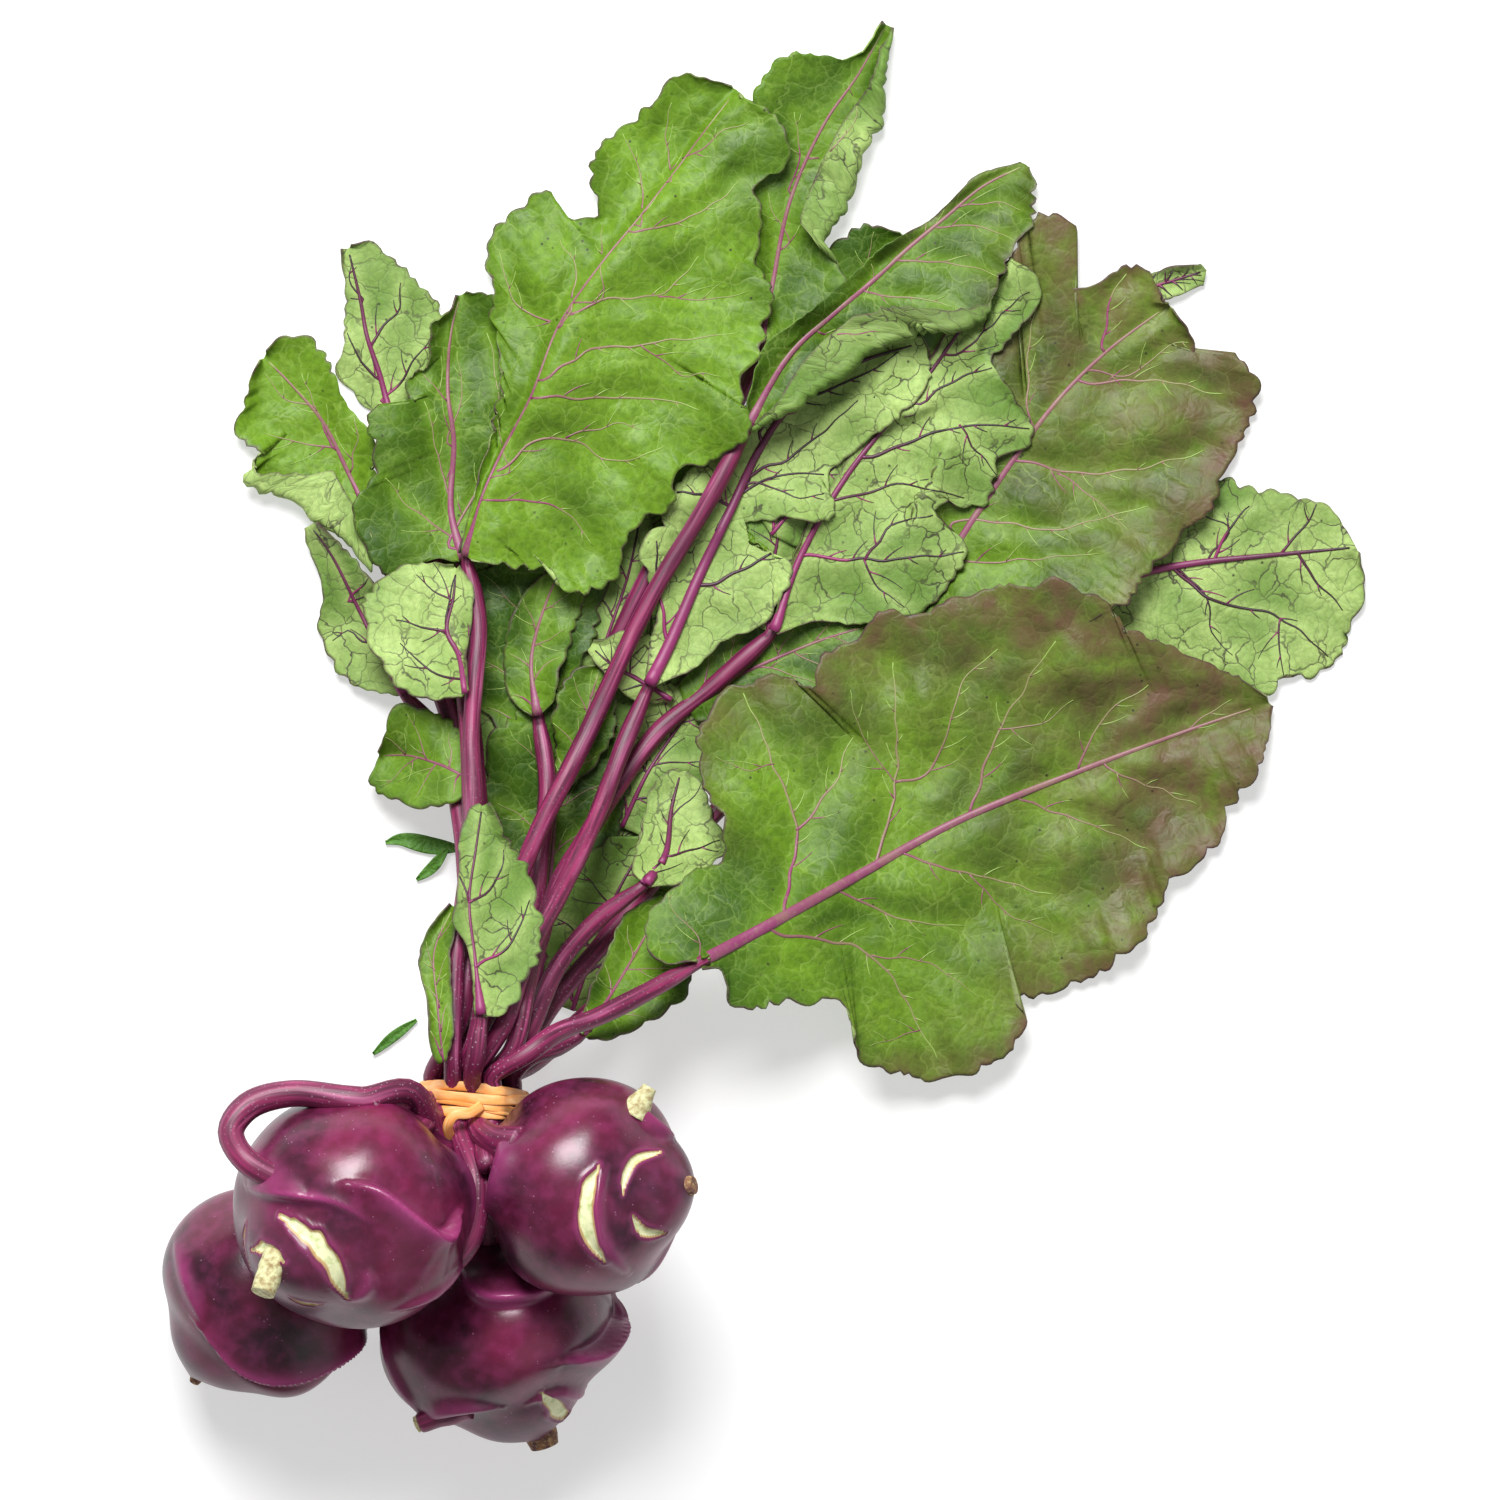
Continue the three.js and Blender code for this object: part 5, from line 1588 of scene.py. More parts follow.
# Blades that fill the gaps low in the pile, darkened as painted shade by their strongly negative tone.
FILLERS = (
    LeafSpec(
        "filler_bed", up=Side.UNDER, rib=1.8, tone=-0.65,
        midrib=((-74, -84), (-68, -58), (-62, -22), (-54, 16), (-44, 56), (-30, 98)),
        left=((-86, -76), (-93, -45), (-97, -10), (-104, 25), (-106, 52), (-88, 76), (-50, 98)),
        right=((-60, -84), (-44, -66), (-36, -38), (-28, -8), (-16, 24), (-10, 60), (-14, 90)),
    ),
    LeafSpec(
        "filler_mid", up=Side.UNDER, rib=1.4, tone=-0.5,
        midrib=((-58, 9), (-51, 32), (-44, 53), (-40, 72)),
        left=((-62, 13), (-67, 27), (-65, 45), (-57, 61), (-47, 73)),
        right=((-51, 11), (-42, 22), (-36, 38), (-35, 58), (-37, 73)),
    ),
    LeafSpec(
        "filler_left", rib=1.4, tone=-0.75,
        midrib=((-77, -1), (-77, 19), (-74, 42), (-69, 61)),
        left=((-84, 1), (-94, 14), (-96, 36), (-90, 55), (-78, 64)),
        right=((-70, 4), (-62, 16), (-55, 35), (-52, 54), (-58, 64)),
    ),
    LeafSpec(
        "filler_centre", up=Side.UNDER, rib=1.6, tone=-0.15,
        midrib=((-46, -28), (-38, -11), (-28, 4), (-19, 16)),
        left=((-51, -23), (-48, -8), (-43, 8), (-33, 18), (-24, 20)),
        right=((-39, -31), (-24, -19), (-12, -6), (-7, 8), (-10, 16)),
    ),
    LeafSpec(
        "filler_right", rib=1.8, tone=-0.45,
        midrib=((-26, 12), (-6, 22), (18, 32), (38, 38)),
        left=((-28, 18), (-16, 34), (8, 42), (26, 42), (38, 43)),
        right=((-22, 6), (4, 9), (27, 16), (42, 23), (43, 32)),
    ),
    LeafSpec(
        "filler_gap", up=Side.UNDER, rib=1.4, tone=-0.7,
        midrib=((1, 35), (2, 51), (4, 64), (7, 80)),
        left=((-4, 37), (-9, 51), (-9, 64), (-4, 79)),
        right=((11, 37), (18, 48), (20, 62), (15, 79)),
    ),
    LeafSpec(
        "filler_tab", up=Side.UNDER, rib=1.0, tone=-0.1,
        midrib=((122, 145), (132, 148), (142, 151)),
        left=((122, 149), (131, 152), (140, 153)),
        right=((126, 141), (133, 143), (141, 146)),
    ),
    LeafSpec(
        "filler_notch", rib=1.4, tone=-0.7,
        midrib=((38, 106), (50, 118), (61, 136)),
        left=((35, 110), (42, 124), (54, 139)),
        right=((45, 104), (60, 112), (69, 130)),
    ),
    LeafSpec(
        "filler_edge", up=Side.UNDER, rib=1.4, tone=-0.3,
        midrib=((2, 66), (14, 80), (27, 92)),
        left=((-2, 72), (6, 86), (20, 98)),
        right=((10, 62), (24, 72), (36, 88)),
    ),
    LeafSpec(
        "filler_low", rib=1.8, tone=-0.6,
        midrib=((-72, -67), (-69, -45), (-67, -19), (-64, 11)),
        left=((-80, -63), (-87, -45), (-90, -19), (-88, 0), (-76, 13)),
        right=((-64, -64), (-53, -48), (-46, -26), (-44, -3), (-51, 12)),
    ),
    LeafSpec(
        "filler_stalks", up=Side.UNDER, rib=1.6, tone=-0.55,
        midrib=((-62, -87), (-55, -67), (-47, -48), (-37, -31)),
        left=((-70, -84), (-71, -64), (-64, -45), (-50, -31)),
        right=((-52, -88), (-40, -72), (-28, -56), (-24, -39)),
    ),
)
NECKS = (
    ((-126, -118, 99), (-115, -114, 86), (-106, -115, 69), (-101, -110, 64)),
    ((-118, -127, 92), (-109, -121, 80), (-102, -117, 68), (-98, -110, 63)),
    ((-112, -136, 80), (-104, -128, 72), (-99, -118, 66), (-96, -108, 62)),
    ((-77, -129, 94), (-86, -127, 86), (-92, -121, 71), (-91, -110, 63)),
    ((-109, -171, 83), (-95, -158, 87), (-92, -140, 86), (-97, -124, 73), (-98, -110, 62)),
    ((-82, -138, 84), (-90, -132, 77), (-95, -122, 68), (-95, -110, 62)),
    ((-84, -148, 70), (-92, -138, 66), (-92, -125, 63), (-90, -110, 60)),
    ((-98, -168, 44), (-97, -148, 54), (-97, -128, 60), (-96, -110, 61)),
    ((-88, -166, 44), (-90, -142, 54), (-90, -124, 59), (-90, -110, 58)),
    ((-140, -156, 38), (-122, -139, 46), (-106, -125, 55), (-100, -110, 58)),
)

WEEDS = (
    ("weed_spoon", ((-122, -33), (-117, -32), (-107, -34), (-97, -35)), 2.8),
    ("weed_strip_upper", ((-112, -45), (-107, -41), (-102, -35)), 1.8),
    ("weed_strip_lower", ((-126, -101), (-119, -95), (-112, -90)), 1.6),
)


# ---- bulbs ------------------------------------------------------------------------------------


class Bulb:
    """A swollen stem: a flattened ball with a drawn-out root end, leaf scars and stalk bases.

    Lengths are millimetres.
    """

    SEGMENTS = 224
    RINGS = 130
    ROOT_END, WAIST = 4.0, 2.8
    DENTS, RIBS, FLATS = 0.8, 1.3, 0.9

    def __init__(self, spec: BulbSpec, seed: int) -> None:
        """Works out the turn and stretch of the unit ball.

        Args:
            spec: the bulb.
            seed: picks its unevenness.
        """
        self.spec = spec
        self.seed = seed
        turn = Vector((0, 0, 1)).rotation_difference(Vector(spec.crown)).to_matrix()
        stretch = np.diag([spec.radius, spec.radius, spec.half])
        self.shape = np.diag([1, 1, spec.squash]) @ np.array(turn) @ stretch
        self.centre = np.array(spec.centre, float)

    def on_surface(self, path: Array) -> Array:
        """Lifts places of the plan onto the side of the ball that is seen from above.

        Args:
            path: one row for each place.

        Returns:
            The points on the ball, or on its outline for places beside it.
        """
        back = np.linalg.inv(self.shape)
        flat = (np.column_stack([path[:, :2], np.zeros(len(path))]) - self.centre) @ back.T
        up = back[:, 2]
        b, a = flat @ up, up @ up
        inside = np.maximum(b * b - a * (np.sum(flat * flat, axis=1) - 1), 0)
        unit = flat + ((-b + np.sqrt(inside)) / a)[:, None] * up
        unit /= np.linalg.norm(unit, axis=1)[:, None]
        return unit @ self.shape.T + self.centre

    def mark(self, mark: Mark, places: Array, normals: Array, facts: dict[str, Array]) -> None:
        """Adds one mark's relief and colour to the facts of the vertices.

        Args:
            mark: the mark.
            places: the vertices on the plain ball.
            normals: its normals there.
            facts: lift in millimetres, and shares of crest and scar, which are changed; the crest share
                paints a brighter magenta that is partly painted highlight.
        """
        path = self.on_surface(evenly(spline(mark.path, 10), 2.0))
        away, share = distance_to(places, path)
        taper = np.sin(np.pi * np.clip(share, 0.03, 0.97)) ** 0.6
        half = mark.width / 2 * taper
        if mark.kind is MarkKind.SCAR:
            half = half * (1 + 0.22 * waves(places[:, 0] + places[:, 2], places[:, 1], 9, self.seed))
            mask = 1 - smoothstep(0.6, 1.1, away / half)
            lip = np.exp(-(((away - 1.2 * half) / 0.8) ** 2))
            facts["scar"] = np.maximum(facts["scar"], mask)
            facts["lift"] += 0.55 * mark.height * lip - mark.height * mask
            # The scar's raised lip is painted brighter magenta, partly as painted highlight.
            facts["crest"] = np.maximum(facts["crest"], 0.4 * lip)
        elif mark.kind is MarkKind.CREASE:
            facts["lift"] -= mark.height * taper * np.exp(-((away / half) ** 2))
        elif mark.kind is MarkKind.RIDGE:
            swell = np.exp(-((away / half) ** 2)) * taper
            facts["lift"] += mark.height * swell
            # The welt's top is painted brighter magenta, partly as painted highlight.
            facts["crest"] = np.maximum(facts["crest"], 0.5 * swell)
        else:
            step = np.gradient(path, axis=0)
            nearest = np.clip((share * (len(path) - 1)).round().astype(int), 0, len(path) - 1)
            side = np.sum(np.cross(step[nearest], places - path[nearest]) * normals, axis=1)
            # A long slope up to the lip on one side, and a steep drop into a groove on the other.
            slope_up = np.exp(-away / (2.4 * half))
            drop = (1.35 * np.exp(-((away / 1.2) ** 2)) - 0.35) * np.exp(-away / (1.4 * half))
            facts["lift"] += mark.height * np.where(side > 0, slope_up, drop) * taper
            # The flap's lip is painted brighter magenta, partly as painted highlight.
            lip = 0.85 * np.exp(-((away / (0.65 * half)) ** 2)) * taper
            facts["crest"] = np.maximum(facts["crest"], lip)

    def build(self, pile: Pile) -> None:
        """Makes the bulb and its stubs.

        Args:
            pile: what is laid so far.
        """
        ball = bmesh.new()
        bmesh.ops.create_uvsphere(ball, u_segments=self.SEGMENTS, v_segments=self.RINGS, radius=1.0)
        unit = np.array([v.co for v in ball.verts])
        places = unit @ self.shape.T + self.centre
        normals = unit @ np.linalg.inv(self.shape)
        normals /= np.linalg.norm(normals, axis=1)[:, None]
        facts = {key: np.zeros(len(unit)) for key in ("lift", "crest", "scar")}
        root = np.arccos(np.clip(-unit[:, 2], -1, 1))
        crown = math.pi - root
        around = np.arctan2(unit[:, 1], unit[:, 0])
        # The root end is drawn out over a waist. Dents and five faint ribs make the ball uneven.
        facts["lift"] += self.ROOT_END * np.exp(-root / 0.3)
        facts["lift"] -= self.WAIST * np.exp(-(((root - 0.68) / 0.3) ** 2))
        facts["lift"] += self.DENTS * waves(places[:, 0], places[:, 1] + places[:, 2], 44, self.seed)
        ribs = np.cos(5 * around + 2.2 * root + self.seed) * smoothstep(1.0, 2.5, root)
        facts["lift"] += self.RIBS * ribs + self.FLATS * np.cos(2 * around + self.seed) * np.sin(root)
        for mark in self.spec.marks:
            self.mark(mark, places, normals, facts)
        moved = places + facts["lift"][:, None] * normals
        moved[:, 2] = np.maximum(moved[:, 2], 0.0)
        for vert, place in zip(ball.verts, PLAN.to_frame(moved)):
            vert.co = place
        bmesh.ops.recalc_face_normals(ball, faces=ball.faces)
        piece = as_object(ball, "skin_" + self.spec.name, [Finish.SKIN.material])
        # Bloom is thickest at the root end and the crown.
        bloom = 0.52 * np.exp(-root / 0.7) + 0.25 * np.exp(-crown / 0.6) + 0.05 * (1 + np.cos(3 * around))
        facts["bloom"] = np.clip(bloom * (1 - facts["scar"]), 0, 1)
        for key in ("crest", "scar", "bloom"):
            set_attribute(piece, key, facts[key])
        belongs(piece, Finish.SKIN.slot, self.spec.name)
        pile.lay(moved)
        for number, stub in enumerate(self.spec.stubs):
            self.add_stub(stub, number)

    def add_stub(self, stub: Stub, number: int) -> None:
        """Makes one cut root or stalk end.

        Args:
            stub: the cut end.
            number: its number on this bulb.
        """
        rings = 16
        path = at_shares(np.array([stub.start, stub.end], float), np.linspace(0, 1, rings))
        wobble = 1 + 0.035 * waves(np.arange(rings), np.zeros(rings), 5, self.seed + number)
        radii = np.linspace(*stub.radii, rings) * wobble
        shape = bmesh.new()
        uv = shape.loops.layers.uv.new("UVMap")
        Tube(path, radii, radii, 20).add_to(shape, uv)
        # A narrow ring of faces inside the rim keeps the edge of each end crisp.
        for face in [face for face in shape.faces if len(face.verts) > 4]:
            bmesh.ops.inset_region(shape, faces=[face], thickness=0.3 * MM, use_even_offset=True)
        piece = as_object(shape, f"stub_{self.spec.name}_{number}", [stub.finish.material])
        belongs(piece, stub.finish.slot)


# ---- stalks -----------------------------------------------------------------------------------


# Spacing of the stalks in the band, and its height over the table.
STALK_PITCH = 6.2
TIE_HEIGHT = 62.0


@dataclass
class Stalk:
    """A leaf stalk from its bulb through the band to its blade.

    Fields:
        spec: its leaf.
        seed: picks its unevenness.
        step: spacing of its sections in millimetres.
        base_radius: its radius at the band.
        tip_radius: its radius at the blade.
        loop_radius: radius of a stalk that loops in sight before the band.
        hug: how far such a loop is drawn in against its bulb.
        tails: length below the band, for each row of the band.
        path: its centre line.
    """

    spec: LeafSpec
    seed: int
    step: float = 2.2
    base_radius: float = 3.05
    tip_radius: float = 2.7
    loop_radius: float = 4.2
    hug: float = 4.5
    tails: tuple[float, ...] = (28, 28, 10, 10)
    path: Array = field(init=False)

    def __post_init__(self) -> None:
        """Follows the CAD stalk's centre line, and ends inside the blade."""
        column, row = self.spec.route.slot
        tie = np.array([*Plan.TIE, TIE_HEIGHT]) + STALK_PITCH * np.array([column - 2, 0, row - 1.5])
        start = [place[:2] for place in self.spec.route.start] or [(tie[0], tie[1] - self.tails[row])]
        through = [(tie[0], tie[1] + reach) for reach in (-5.4, 5.4, 8.1)]
        way = [*start, *through, *self.spec.route.to, self.spec.midrib[0]]
        flat = evenly(spline(way), self.step)
        node = NodeShape("stalk_" + self.spec.name)
        heights = np.full(len(flat), np.nan)
        for k, (x, y) in enumerate(flat):
            top, under = node.height(x, y, True), node.height(x, y, False)
            if top is not None:
                heights[k] = (top + under) / 2
        known = ~np.isnan(heights)
        heights = np.interp(arc(flat), arc(flat)[known], heights[known])
        for _ in range(4):
            heights[1:-1] = (heights[:-2] + 2 * heights[1:-1] + heights[2:]) / 4
        path = np.column_stack([flat, heights])
        if self.loops():
            path = self.hugged(path)
        into = evenly(spline(self.spec.midrib), 1.0)[3]
        blade = NodeShape("blade_" + self.spec.name).height(*into, True)
        if blade is not None:
            path = np.vstack([path[:-1], [*into, blade - 0.6]])
        self.path = path

    def loops(self) -> bool:
        """Whether the stalk is seen to leave its bulb in a loop."""
        return len(self.spec.route.start) > 4

    def hugged(self, path: Array) -> Array:
        """Draws a loop in against the bulb that it grows from, and sinks its start into it.

        Args:
            path: the centre line.

        Returns:
            The moved centre line.
        """
        heart = np.array(self.spec.route.start[0][:2]) + np.array([14.0, 3.0])
        toward = heart - path[:, :2]
        reach = np.linalg.norm(toward, axis=1)
        before = np.arange(len(path)) < np.argmin(np.linalg.norm(path[:, :2] - Plan.TIE, axis=1))
        pull = self.hug * smoothstep(14, 26, reach) * smoothstep(20, 34, Plan.TIE[0] - path[:, 0])
        path = path.copy()
        path[:, :2] += (before * pull / reach)[:, None] * toward
        path[:, 2] -= 12.0 * (1 - smoothstep(0, 30, arc(path)))
        return path

    def radii(self) -> Array:
        """Radius of a stalk that is thick where it leaves the bulb and thin at the blade.

        Returns:
            The radius at each point of the path.
        """
        run = arc(self.path)
        share = run / run[-1]
        even = self.base_radius + (self.tip_radius - self.base_radius) * share
        if self.loops():
            reach = np.linalg.norm(self.path[:, :2] - Plan.TIE, axis=1)
            past = np.argmin(reach)
            even[:past] += (self.loop_radius - self.base_radius) * smoothstep(4, 16, reach[:past])
        even = even * (1 - 0.36 * smoothstep(run[-1] - 16, run[-1], run))
        return even * (1 + 0.05 * waves(run, np.full(len(run), self.seed * 3.0), 30, self.seed))

    def build(self, pile: Pile) -> None:
        """Makes the stalk.

        Args:
            pile: what is laid so far.
        """
        radii = self.radii()
        shape = bmesh.new()
        uv = shape.loops.layers.uv.new("UVMap")
        Tube(self.path, radii * 1.04, radii * 0.96, 16).add_to(shape, uv)
        piece = as_object(shape, "petiole_" + self.spec.name, [Finish.STALK.material])
        places = np.array([vert.co for vert in piece.data.vertices])[:, :2] / MM - PLAN.shift
        reach = np.linalg.norm(places - Plan.TIE, axis=1)
        set_attribute(piece, "dust", 0.8 * np.exp(-reach / 60))
        set_attribute(piece, "scar", np.zeros(len(places)))
        belongs(piece, Finish.STALK.slot, "stalk_" + self.spec.name)
        side, over = frames_along(self.path)
        for angle in np.linspace(0, math.pi, 7):
            pile.lay(self.path + radii[:, None] * (math.cos(angle) * side + math.sin(angle) * over))


class Neck:
    """A swollen leaf-stalk base that leads from a bulb into the band."""

    ROOT, TIP = 6.2, 2.7

    def __init__(self, path: Points, number: int) -> None:
        """Takes the points of its centre line, and its number, which also picks its unevenness."""
        self.path, self.number = evenly(spline(path), 1.6), number

    def build(self, pile: Pile) -> None:
        """Makes the base.

        Args:
            pile: what is laid so far.
        """
        share = arc(self.path) / arc(self.path)[-1]
        radii = self.TIP + (self.ROOT - self.TIP) * (1 - share) ** 1.4
        radii *= 1 + 0.05 * waves(30 * share, np.full(len(share), 9.0 * self.number), 14, self.number)
        shape = bmesh.new()
        uv = shape.loops.layers.uv.new("UVMap")
        Tube(self.path, radii * 1.08, radii * 0.92, 20).add_to(shape, uv)
        piece = as_object(shape, f"neck_{self.number}", [Finish.STALK.material])
        for key, value in (("dust", 0.5), ("scar", 0.0)):
            set_attribute(piece, key, np.full(len(piece.data.vertices), value))
        belongs(piece, Finish.STALK.slot)
        pile.lay(self.path, 2.5)


# ---- leaves -----------------------------------------------------------------------------------


class Leaf:
    """A blade draped over what lies under it, with its veins.

    The fine sheet takes its lie from its CAD node, then bulges between the veins, ripples toward
    its margins and is kept off what lies under it and above it. Lengths are millimetres.
    """

    STEP = 1.45
    THICKNESS = 0.6
    CLEARANCE = 0.35
    ROLL_STEPS = 26
    QUILT, QUILT_REACH = 2.5, 6.5
    GROOVE, GROOVE_REACH = 0.5, 2.2
    SWELL, DIMPLE = 1.3, 0.35
    RIPPLE, MARGIN_LIFT = 2.5, 0.9
    RIM_DEPTH = 10.0

    def __init__(self, spec: LeafSpec, seed: int, in_cad: bool = True) -> None:
        """Draws the leaf's outline and grows the veins that it isn't given.

        Args:
            spec: the leaf.
            seed: picks its unevenness.
            in_cad: whether the leaf takes the place of a CAD node.
        """
        self.spec, self.seed, self.in_cad = spec, seed, in_cad
        curves = [spline(c) for c in (spec.midrib, spec.left, spec.right)]
        rows = int(np.clip(max(arc(c)[-1] for c in curves) / self.STEP, 24, 200))
        self.share = np.linspace(0, 1, rows + 1)
        self.mid, *margins = (at_shares(c, self.share) for c in curves)
        self.margins = [self.toothed(m, k) for k, m in enumerate(margins)]
        self.widths = [np.linalg.norm(m - self.mid, axis=1) + 1e-6 for m in self.margins]
        self.half = int(np.clip(max(w.max() for w in self.widths) / self.STEP, 10, 80))
        self.veins = list(spec.veins) or self.grown_veins()

    def toothed(self, margin: Array, number: int) -> Array:
        """Gives a margin its uneven scallops.

        Args:
            margin: the plain margin.
            number: 0 for the left margin, 1 for the right.

        Returns:
            The toothed margin.
        """
        run = arc(margin)
        step = np.gradient(margin, axis=0)
        step /= np.linalg.norm(step, axis=1)[:, None] + 1e-9
        out = np.column_stack([-step[:, 1], step[:, 0]]) * (1 if number == 0 else -1)
        line = np.full(len(run), 40.0 * number)
        phase = math.pi * run / 6.6 + 1.6 * waves(run, line, 24, self.seed)
        uneven = 0.3 + 1.0 * np.abs(waves(run, line, 34, self.seed + 3))
        reach = 1.1 * waves(run, line, 19, self.seed + 2) + 2.0 * uneven * (np.abs(np.sin(phase)) - 0.6)
        ends = smoothstep(0, 0.06, self.share) * smoothstep(0, 0.04, 1 - self.share)
        size = np.clip(np.linalg.norm(margin - self.mid, axis=1) / 18, 0.2, 1)
        return margin + out * (reach * ends * size)[:, None]

    def at(self, u: float, across: float) -> Array:
        """Finds a place of the blade.

        Args:
            u: share along the leaf.
            across: share of the way to the margin, negative to the left.

        Returns:
            The place on the plan.
        """
        row = np.clip(u, 0, 1) * (len(self.share) - 1)
        k = min(int(row), len(self.share) - 2)
        margin = self.margins[0 if across < 0 else 1]
        line = self.mid + abs(across) * (margin - self.mid)
        return line[k] + (row - k) * (line[k + 1] - line[k])

    def grown_veins(self) -> list[Vein]:
        """Grows side veins that turn off the midrib toward the margins.

        Returns:
            The veins, first on the left and then on the right.
        """
        length = arc(self.mid)[-1]
        rng = np.random.default_rng(self.seed + 50)
        count = int(np.clip(length / 16, 3, 8))
        veins = []
        for sign, k in ((s, k) for s in (-1, 1) for k in range(count)):
            u = 0.06 + 0.8 * (k + 0.5 * (sign > 0) + rng.uniform(-0.15, 0.15)) / count
            lean = rng.uniform(0.1, 0.2)
            reach = rng.uniform(0.75, 0.92)
            way = [self.at(u + lean * t**0.8, sign * reach * t) for t in np.linspace(0.0, 1, 5)]
            veins.append(Vein(max(1.3 - 0.9 * u, 0.6), tuple(tuple(p) for p in way)))
        return veins

    def joined(self, path: Points) -> Points:
        """Leads a side vein's path back to the midrib, a little nearer the leaf's base.

        Args:
            path: the path as it is given.

        Returns:
            The path with its new start, or as it was where it starts on the midrib or far from it.
        """
        away = np.linalg.norm(self.mid - np.array(path[0]), axis=1)
        nearest = int(np.argmin(away))
        gap = float(away[nearest])
        if not 0.5 < gap < 12:
            return path
        back = int(0.9 * gap / max(arc(self.mid)[-1] / len(self.mid), 1e-6))
        return (tuple(self.mid[max(nearest - back, 0)]), *path)

    def vein_paths(self) -> list[tuple[Array, float, float]]:
        """Works out the side veins and their twigs.

        Returns:
            Way, half width at the start, and fade at the start of each.
        """
        rng = np.random.default_rng(self.seed + 90)
        found = []
        for vein in self.veins:
            path = evenly(spline(self.joined(vein.path)), 2.0)
            bend = 0.5 * waves(arc(path), np.full(len(path), 7.0), 11, self.seed + len(found))
            step = np.gradient(path, axis=0)
            normal = np.column_stack([-step[:, 1], step[:, 0]])
            path = path + normal / (np.linalg.norm(normal, axis=1)[:, None] + 1e-9) * bend[:, None]
            found.append((path, vein.width / 2, 0.08))
            for place in np.arange(0.22, 0.95, 9.0 / max(arc(path)[-1], 9.0)):
                k = int(place * (len(path) - 1))
                way = path[min(k + 1, len(path) - 1)] - path[k]
                turn = rng.choice((-1, 1)) * rng.uniform(0.6, 1.0)
                size = rng.uniform(5, 13) * (1.2 - place)
                angles = np.arctan2(way[1], way[0]) + turn * np.linspace(1, 0.55, 5)
                steps = np.column_stack([np.cos(angles), np.sin(angles)]) * size / 5
                twig = path[k] + np.vstack([[0, 0], np.cumsum(steps, axis=0)])
                found.append((evenly(twig, 2.0), 0.2 + 0.13 * vein.width, 0.7))
        return found

    def lie(self, places: Array) -> Array:
        """Height of the CAD blade's underside at each place of the sheet, evened out.

        Args:
            places: places of the plan as places[row, column].

        Returns:
            The heights. A leaf without a CAD node lies flat.
        """
        if not self.in_cad:
            return np.full(places.shape[:2], self.THICKNESS)
        node = NodeShape("blade_" + self.spec.name)
        found = [node.height(x, y, False) for x, y in places.reshape(-1, 2)]
        heights = np.array([np.nan if z is None else z for z in found]).reshape(places.shape[:2])
        while np.isnan(heights).any():
            padded = np.pad(heights, 1, mode="edge")
            near = np.stack([padded[:-2, 1:-1], padded[2:, 1:-1], padded[1:-1, :-2], padded[1:-1, 2:]])
            known = ~np.isnan(near)
            sums = np.where(known, near, 0).sum(axis=0)
            fill = np.where(known.any(axis=0), sums / np.maximum(known.sum(axis=0), 1), np.nan)
            heights = np.where(np.isnan(heights), fill, heights)
        return smoothed(heights, 16)

    def roll_radius(self, width: Array) -> tuple[Array, Array]:
        """Fits the rolled margin to the width of its half of the leaf.

        Args:
            width: that width along the leaf.

        Returns:
            The roll's radius and the width turned over, along the leaf.
        """
        curl = self.spec.curl
        flap = along_knots(curl.flap, self.share)
        flap *= 1 + 0.12 * waves(self.share * 200, np.zeros(len(self.share)), 25, self.seed + 8)
        radius = np.minimum(curl.radius, width / 4) * smoothstep(0, 4, flap)
        return radius, np.maximum(np.minimum(flap, width - 3 * radius), 0)

    def sheet(self, pile: Pile, ceiling: Ceiling) -> tuple[Array, Array, dict[str, Array]]:
        """Lays the sheet.

        Args:
            pile: what lies under it.
            ceiling: what will lie over it.

        Returns:
            Points of the sheet, their flattened places for the UV map, and the attributes.
        """
        spec = self.spec
        rolled = None if spec.curl is None else spec.curl.margin.value
        margins, widths = list(self.margins), list(self.widths)
        if rolled is not None:
            radius, flap = self.roll_radius(widths[rolled])
            keep = 1 - radius / widths[rolled]
            margins[rolled] = self.mid + (margins[rolled] - self.mid) * keep[:, None]
            widths[rolled] = widths[rolled] * keep
        t = np.linspace(0, 1, self.half + 1)
        fans = [self.mid[:, None] + t[None, :, None] * (m - self.mid)[:, None] for m in margins]
        flat = np.concatenate([fans[0][:, ::-1], fans[1][:, 1:]], axis=1)
        across = np.concatenate([-t[::-1], t[1:]])[None]
        width = np.where(across < 0, widths[0][:, None], widths[1][:, None])
        edge = (1 - np.abs(across)) * width
        near = self.distance_to_veins(flat)
        points = self.laid(flat, self.relief(flat, across, width, near), pile, ceiling)
        places = flat
        if rolled is not None:
            points, places, edge = self.add_roll(rolled, points, places, edge, radius, flap)
        # A strongly negative tone darkens low-lying leaves as painted shade; slow waves vary it over the
        # blade.
        tone = spec.tone + 0.12 * waves(places[..., 0], places[..., 1], 60, self.seed + 7)
        rim = spec.rim_blush * np.exp(-edge / self.RIM_DEPTH) * smoothstep(0.12, 0.4, self.share)[:, None]
        blush = np.clip(along_knots(spec.blush, self.share)[:, None] + rim, 0, 1)
        extra = points.shape[1] - near.shape[1]
        halo = np.pad(np.exp(-((near / 2.6) ** 2)), ((0, 0), (extra, 0) if rolled == 0 else (0, extra)))
        edge = np.clip(edge / self.RIM_DEPTH, 0, 1)
        return points, places, {"tone": tone, "blush": blush, "halo": halo, "edge": edge}

